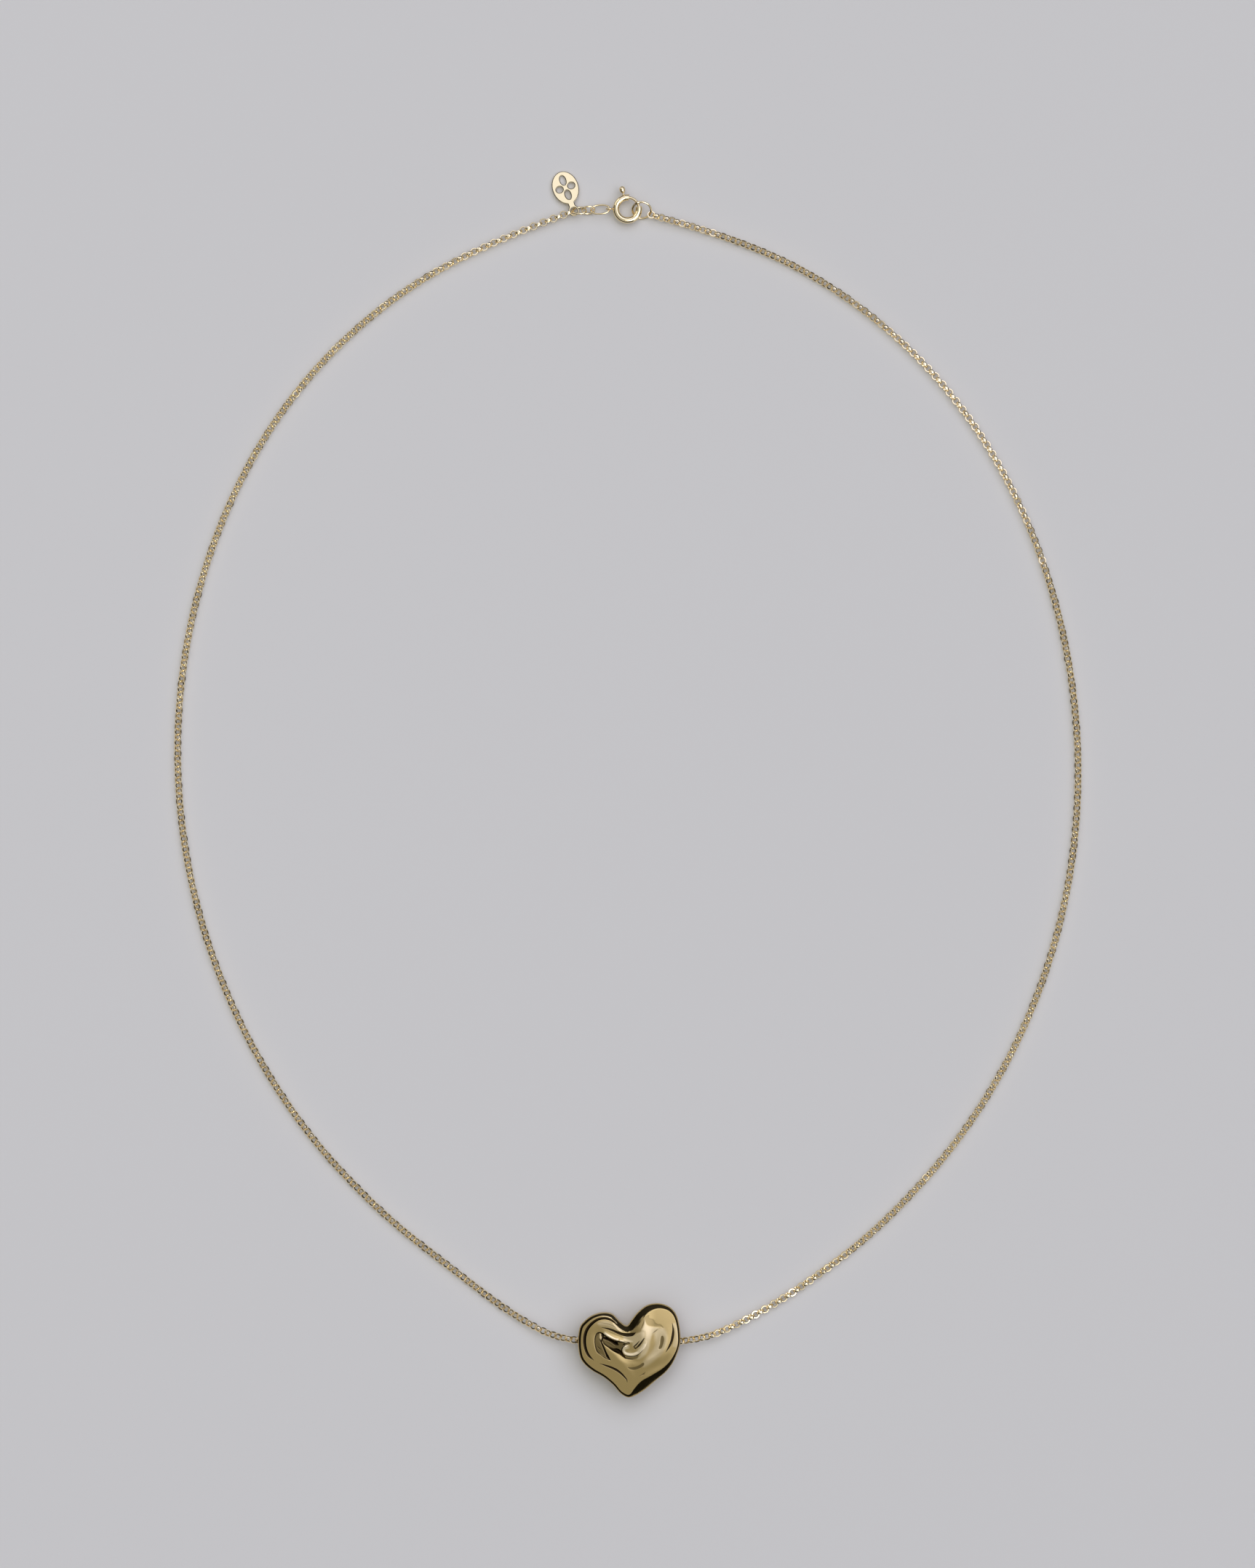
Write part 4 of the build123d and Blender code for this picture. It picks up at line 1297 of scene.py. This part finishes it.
class ModelTag(bpy.types.Operator):
    """Model the pierced oval tag with its eyelet"""

    bl_idname = "necklace.model_tag"
    bl_label = "Oval Tag"

    def execute(self, context):
        clasp = context.scene.clasp_sizes
        sizes = context.scene.tag_sizes
        thick = sizes.thickness
        bevel = sizes.bevel
        bevel_depth = bevel * sizes.bevel_slope
        straight = thick / 2 - bevel_depth
        eyelet = sizes.eyelet_diameter / 2
        plate_y = eyelet + sizes.neck_length + sizes.height / 2
        outline = tag_outline(sizes, plate_y)
        plate = flat_face("tag_plate", [(x, y, -straight) for x, y in outline])
        bpy.ops.object.mode_set(mode="EDIT")
        bpy.ops.mesh.select_mode(type="FACE")
        bpy.ops.mesh.select_all(action="SELECT")
        bpy.ops.mesh.extrude_region_move(TRANSFORM_OT_translate={"value": (0, 0, 2 * straight)})
        face_outwards()
        bpy.ops.mesh.select_all(action="DESELECT")
        bpy.ops.mesh.select_face_by_sides(number=len(outline), type="EQUAL")
        bpy.ops.mesh.inset(thickness=bevel, depth=bevel_depth, use_individual=True)
        bpy.ops.object.mode_set(mode="OBJECT")

        far = straight + 2 * bevel_depth
        rings = [(-far, 2 * bevel), (-straight, 0), (straight, 0), (far, 2 * bevel)]
        hole = sizes.eyelet_hole / 2
        combine(plate, flared_plug("tag_hole", 0, 0, hole, hole, rings), "DIFFERENCE")
        for across, up, petal_width, petal_height in TAG_PETALS:
            petal = flared_plug(
                "tag_petal",
                across * sizes.width / 2,
                plate_y + up * sizes.height / 2,
                petal_width * sizes.width / 2,
                petal_height * sizes.height / 2,
                rings,
            )
            combine(plate, petal, "DIFFERENCE")

        hook = eyelet_centre(clasp, sizes)
        reach = eyelet + sizes.neck_length + sizes.height
        lean = math.asin((hook.z - thick / 2 - clasp.floor_gap) / reach)
        turned = Matrix.Rotation(sizes.direction - math.pi / 2, 4, "Z")
        plate.matrix_world = Matrix.Translation(hook) @ turned @ Matrix.Rotation(-lean, 4, "X")
        apply_place(plate)
        plate.name = "tag_pierced"
        metal = polished_metal("tag")
        finish_piece(plate, NECKLACE, "tag_metal", metal, "tag", sharp=28.0, flat_faces=True)
        return {"FINISHED"}


def chain_route(context):
    """Corners of the chain's route with the roll of its links, from the tag to the jump ring."""
    chain = context.scene.chain_sizes
    heart = context.scene.heart_sizes
    clasp = context.scene.clasp_sizes
    tag = context.scene.tag_sizes
    inner = chain.link_diameter / 2 - chain.wire_radial

    # The end links hang with some play on the rim of the eyelet and on the jump ring
    hang = HANG * inner
    rim = (tag.eyelet_diameter + tag.eyelet_hole) / 4
    first = eyelet_centre(clasp, tag) + direction(tag.hook_angle) * (rim + hang)
    jump = jump_lie(clasp).translation
    jump_radius = (clasp.jump_diameter - clasp.jump_wire) / 2
    last = jump + direction(clasp.jump_hook) * (jump_radius + hang)

    bore_y = heart.centre_y + heart.bore_rise
    half = heart.width / 2 + chain.mouth_run
    corners = [(first.x, first.y, first.z, 0.0)]
    corners += [(x * MM, y * MM, chain.level, math.radians(roll)) for x, y, roll in ROUTE_LEFT]
    corners += [(heart.centre_x - half, bore_y, chain.bore_level, chain.mouth_roll)]
    corners += [(heart.centre_x + half, bore_y, chain.bore_level, chain.mouth_roll)]
    corners += [(x * MM, y * MM, chain.level, math.radians(roll)) for x, y, roll in ROUTE_RIGHT]
    corners += [(last.x, last.y, last.z, chain.end_roll)]
    return corners


class ModelChain(bpy.types.Operator):
    """Model the belcher chain from one pair of links along its route"""

    bl_idname = "necklace.model_chain"
    bl_label = "Belcher Chain"

    def execute(self, context):
        sizes = context.scene.chain_sizes
        corners = chain_route(context)
        route = bpy.data.curves.new("chain_route", "CURVE")
        route.dimensions = "3D"
        route.twist_mode = "Z_UP"
        route.resolution_u = 24
        spline = route.splines.new("NURBS")
        spline.points.add(len(corners) - 1)
        for point, (x, y, z, roll) in zip(spline.points, corners):
            point.co = (x, y, z, 1)
            point.tilt = roll
        spline.order_u = 3
        spline.use_endpoint_u = True
        path = bpy.data.objects.new("chain_route", route)
        context.collection.objects.link(path)

        long = spline.calc_length(resolution=96)
        pairs = round((long / sizes.pitch + 1) / 2)
        pitch = long / (2 * pairs - 1)

        link = (sizes.link_diameter, sizes.wire_radial, sizes.link_sides, sizes.wire_sides)
        chain = add_ring("belcher_chain", *link, rotation=(math.pi / 2, 0, 0))
        second = add_ring("second_link", *link, location=(pitch, 0, 0))
        for ring in (chain, second):
            ring.scale = (1, 1, sizes.wire_axial / sizes.wire_radial)
            apply_place(ring)
        select_only(chain, second)
        bpy.ops.object.join()

        apply_modifier(
            chain,
            "ARRAY",
            count=pairs,
            use_relative_offset=False,
            use_constant_offset=True,
            constant_offset_displace=(2 * pitch, 0, 0),
        )
        apply_modifier(chain, "CURVE", object=path, deform_axis="POS_X")
        bpy.data.curves.remove(route)

        # Each link lies a little differently
        random = np.random.default_rng(LINK_SEED)
        links = points_of(chain).reshape(2 * pairs, -1, 3)
        middles = links.mean(axis=1)
        ahead = np.gradient(middles, axis=0)
        ahead /= np.linalg.norm(ahead, axis=1, keepdims=True)
        for k in range(1, 2 * pairs - 1):
            roll_angle = random.normal(0, ROLL_SPREAD) * sizes.sway
            roll = Matrix.Rotation(roll_angle, 3, Vector(ahead[k]))
            nod_angle = random.normal(0, NOD_SPREAD) * sizes.sway
            nod = Matrix.Rotation(nod_angle, 3, Vector(random.normal(0, 1, 3)))
            links[k] = (links[k] - middles[k]) @ np.array(roll @ nod).T + middles[k]
        move_points(chain, links.reshape(-1, 3))

        metal = polished_metal("chain")
        finish_piece(chain, NECKLACE, "chain_metal", metal, "chain", sharp=70.0)
        return {"FINISHED"}


def studio_world(settings):
    """Studio of one wide overhead softbox, brighter on one side, in dim surroundings."""
    world = bpy.data.worlds.new("studio")
    world.use_nodes = True
    nodes = world.node_tree.nodes
    links = world.node_tree.links
    background = nodes["Background"]

    place = nodes.new("ShaderNodeTexCoord")
    height = nodes.new("ShaderNodeSeparateXYZ")
    links.new(place.outputs["Generated"], height.inputs["Vector"])
    outer_edge = math.cos(settings.dome_angle + SOFTBOX_EDGE)
    inner_edge = math.cos(settings.dome_angle - SOFTBOX_EDGE)
    softbox = soft_ramp(nodes, links, height.outputs["Z"], outer_edge, inner_edge)

    side = nodes.new("ShaderNodeVectorMath")
    side.operation = "DOT_PRODUCT"
    side.inputs[1].default_value = direction(settings.bright_side)
    links.new(place.outputs["Generated"], side.inputs[0])
    start, end = settings.panel_start, settings.panel_end
    panel = soft_ramp(nodes, links, side.outputs["Value"], start, end)

    dim = [settings.dim_light * part for part in settings.dim_glow]
    bright = [settings.bright_light * part for part in settings.bright_glow]
    glow = mix_colours(nodes, links, panel, dim, bright)
    links.new(glow, background.inputs["Color"])

    total = nodes.new("ShaderNodeMath")
    total.inputs[1].default_value = settings.surround
    links.new(softbox, total.inputs[0])
    links.new(total.outputs["Value"], background.inputs["Strength"])
    return world


class SetStage(bpy.types.Operator):
    """Set the pale floor, the soft lights and the camera"""

    bl_idname = "necklace.set_stage"
    bl_label = "Stage"

    def execute(self, context):
        scene = context.scene
        settings = scene.studio_settings
        deselect_all()
        bpy.ops.mesh.primitive_plane_add(size=FLOOR_SIDE)
        floor = named_piece("floor")
        material = bpy.data.materials.new("pale floor")
        material.use_nodes = True
        shader = material.node_tree.nodes["Principled BSDF"]
        shader.inputs["Base Color"].default_value = (*scene.finish_colours.floor, 1)
        shader.inputs["Roughness"].default_value = 0.9
        floor.data.materials.append(material)

        scene.world = studio_world(settings)
        scene.view_settings.view_transform = "Standard"

        # The floor and the small bright pieces have lamps of their own, as the broad folds of the
        # heart would wash out under them
        shown = [piece for piece in scene.objects if piece.type == "MESH"]
        tags = [piece for piece in shown if piece.name == "tag_pierced"]
        others = ("floor", "heart", "tag_pierced")
        small = [piece for piece in shown if piece.name not in others]
        above = (-0.25, 0.35, 1.5)
        side = settings.sparkle_size
        # columns: name, side, power, place in metres, pieces that it lights
        lamps = [
            ("floor lamp", LAMP_SIDE, settings.floor_power, above, [floor]),
            ("tag lamp", LAMP_SIDE, settings.tag_power, above, tags),
            ("sparkle lamp", side, settings.sparkle_power, (0.45, -0.35, 1.5), small),
            ("left lamp", side, settings.side_power, (-1.2, 1.0, 0.75), small),
            ("right lamp", side, settings.side_power, (1.2, -1.1, 0.75), small),
        ]
        for name, size, power, place, lit in lamps:
            data = bpy.data.lights.new(name, "AREA")
            data.size = size
            data.energy = power
            lamp = bpy.data.objects.new(name, data)
            lamp.location = place
            lamp.rotation_euler = lamp.location.to_track_quat("Z", "Y").to_euler()
            scene.collection.objects.link(lamp)
            receivers = bpy.data.collections.new("lit by the " + name)
            for piece in lit:
                receivers.objects.link(piece)
            lamp.light_linking.receiver_collection = receivers

        data = bpy.data.cameras.new("camera")
        data.lens = data.sensor_width * settings.camera_height / settings.view_height
        data.clip_end = 20
        camera = bpy.data.objects.new("camera", data)
        camera.location = (settings.view_x, settings.view_y, settings.camera_height)
        scene.collection.objects.link(camera)
        scene.camera = camera
        return {"FINISHED"}


MODEL_STEPS = [
    ModelHeart,
    ModelSpringRing,
    ModelGate,
    ModelJumpRing,
    ModelExtenderLinks,
    ModelTag,
    ModelChain,
    SetStage,
]


class NecklacePanel(bpy.types.Panel):
    """Buttons for each piece of the necklace"""

    bl_idname = "VIEW3D_PT_necklace"
    bl_label = "Necklace"
    bl_space_type = "VIEW_3D"
    bl_region_type = "UI"
    bl_category = "Necklace"

    def draw(self, context):
        column = self.layout.column()
        for step in MODEL_STEPS:
            column.operator(step.bl_idname)


def register():
    """Register the settings, the operators and the panel."""
    for name, group in SETTINGS.items():
        bpy.utils.register_class(group)
        setattr(bpy.types.Scene, name, bpy.props.PointerProperty(type=group))
    for step in MODEL_STEPS:
        bpy.utils.register_class(step)
    bpy.utils.register_class(NecklacePanel)


def unregister():
    """Take away what register added."""
    bpy.utils.unregister_class(NecklacePanel)
    for step in reversed(MODEL_STEPS):
        bpy.utils.unregister_class(step)
    for name, group in reversed(SETTINGS.items()):
        delattr(bpy.types.Scene, name)
        bpy.utils.unregister_class(group)


def main():
    """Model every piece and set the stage."""
    register()
    for step in MODEL_STEPS:
        group, name = step.bl_idname.split(".")
        getattr(getattr(bpy.ops, group), name)()


if __name__ == "__main__":
    main()
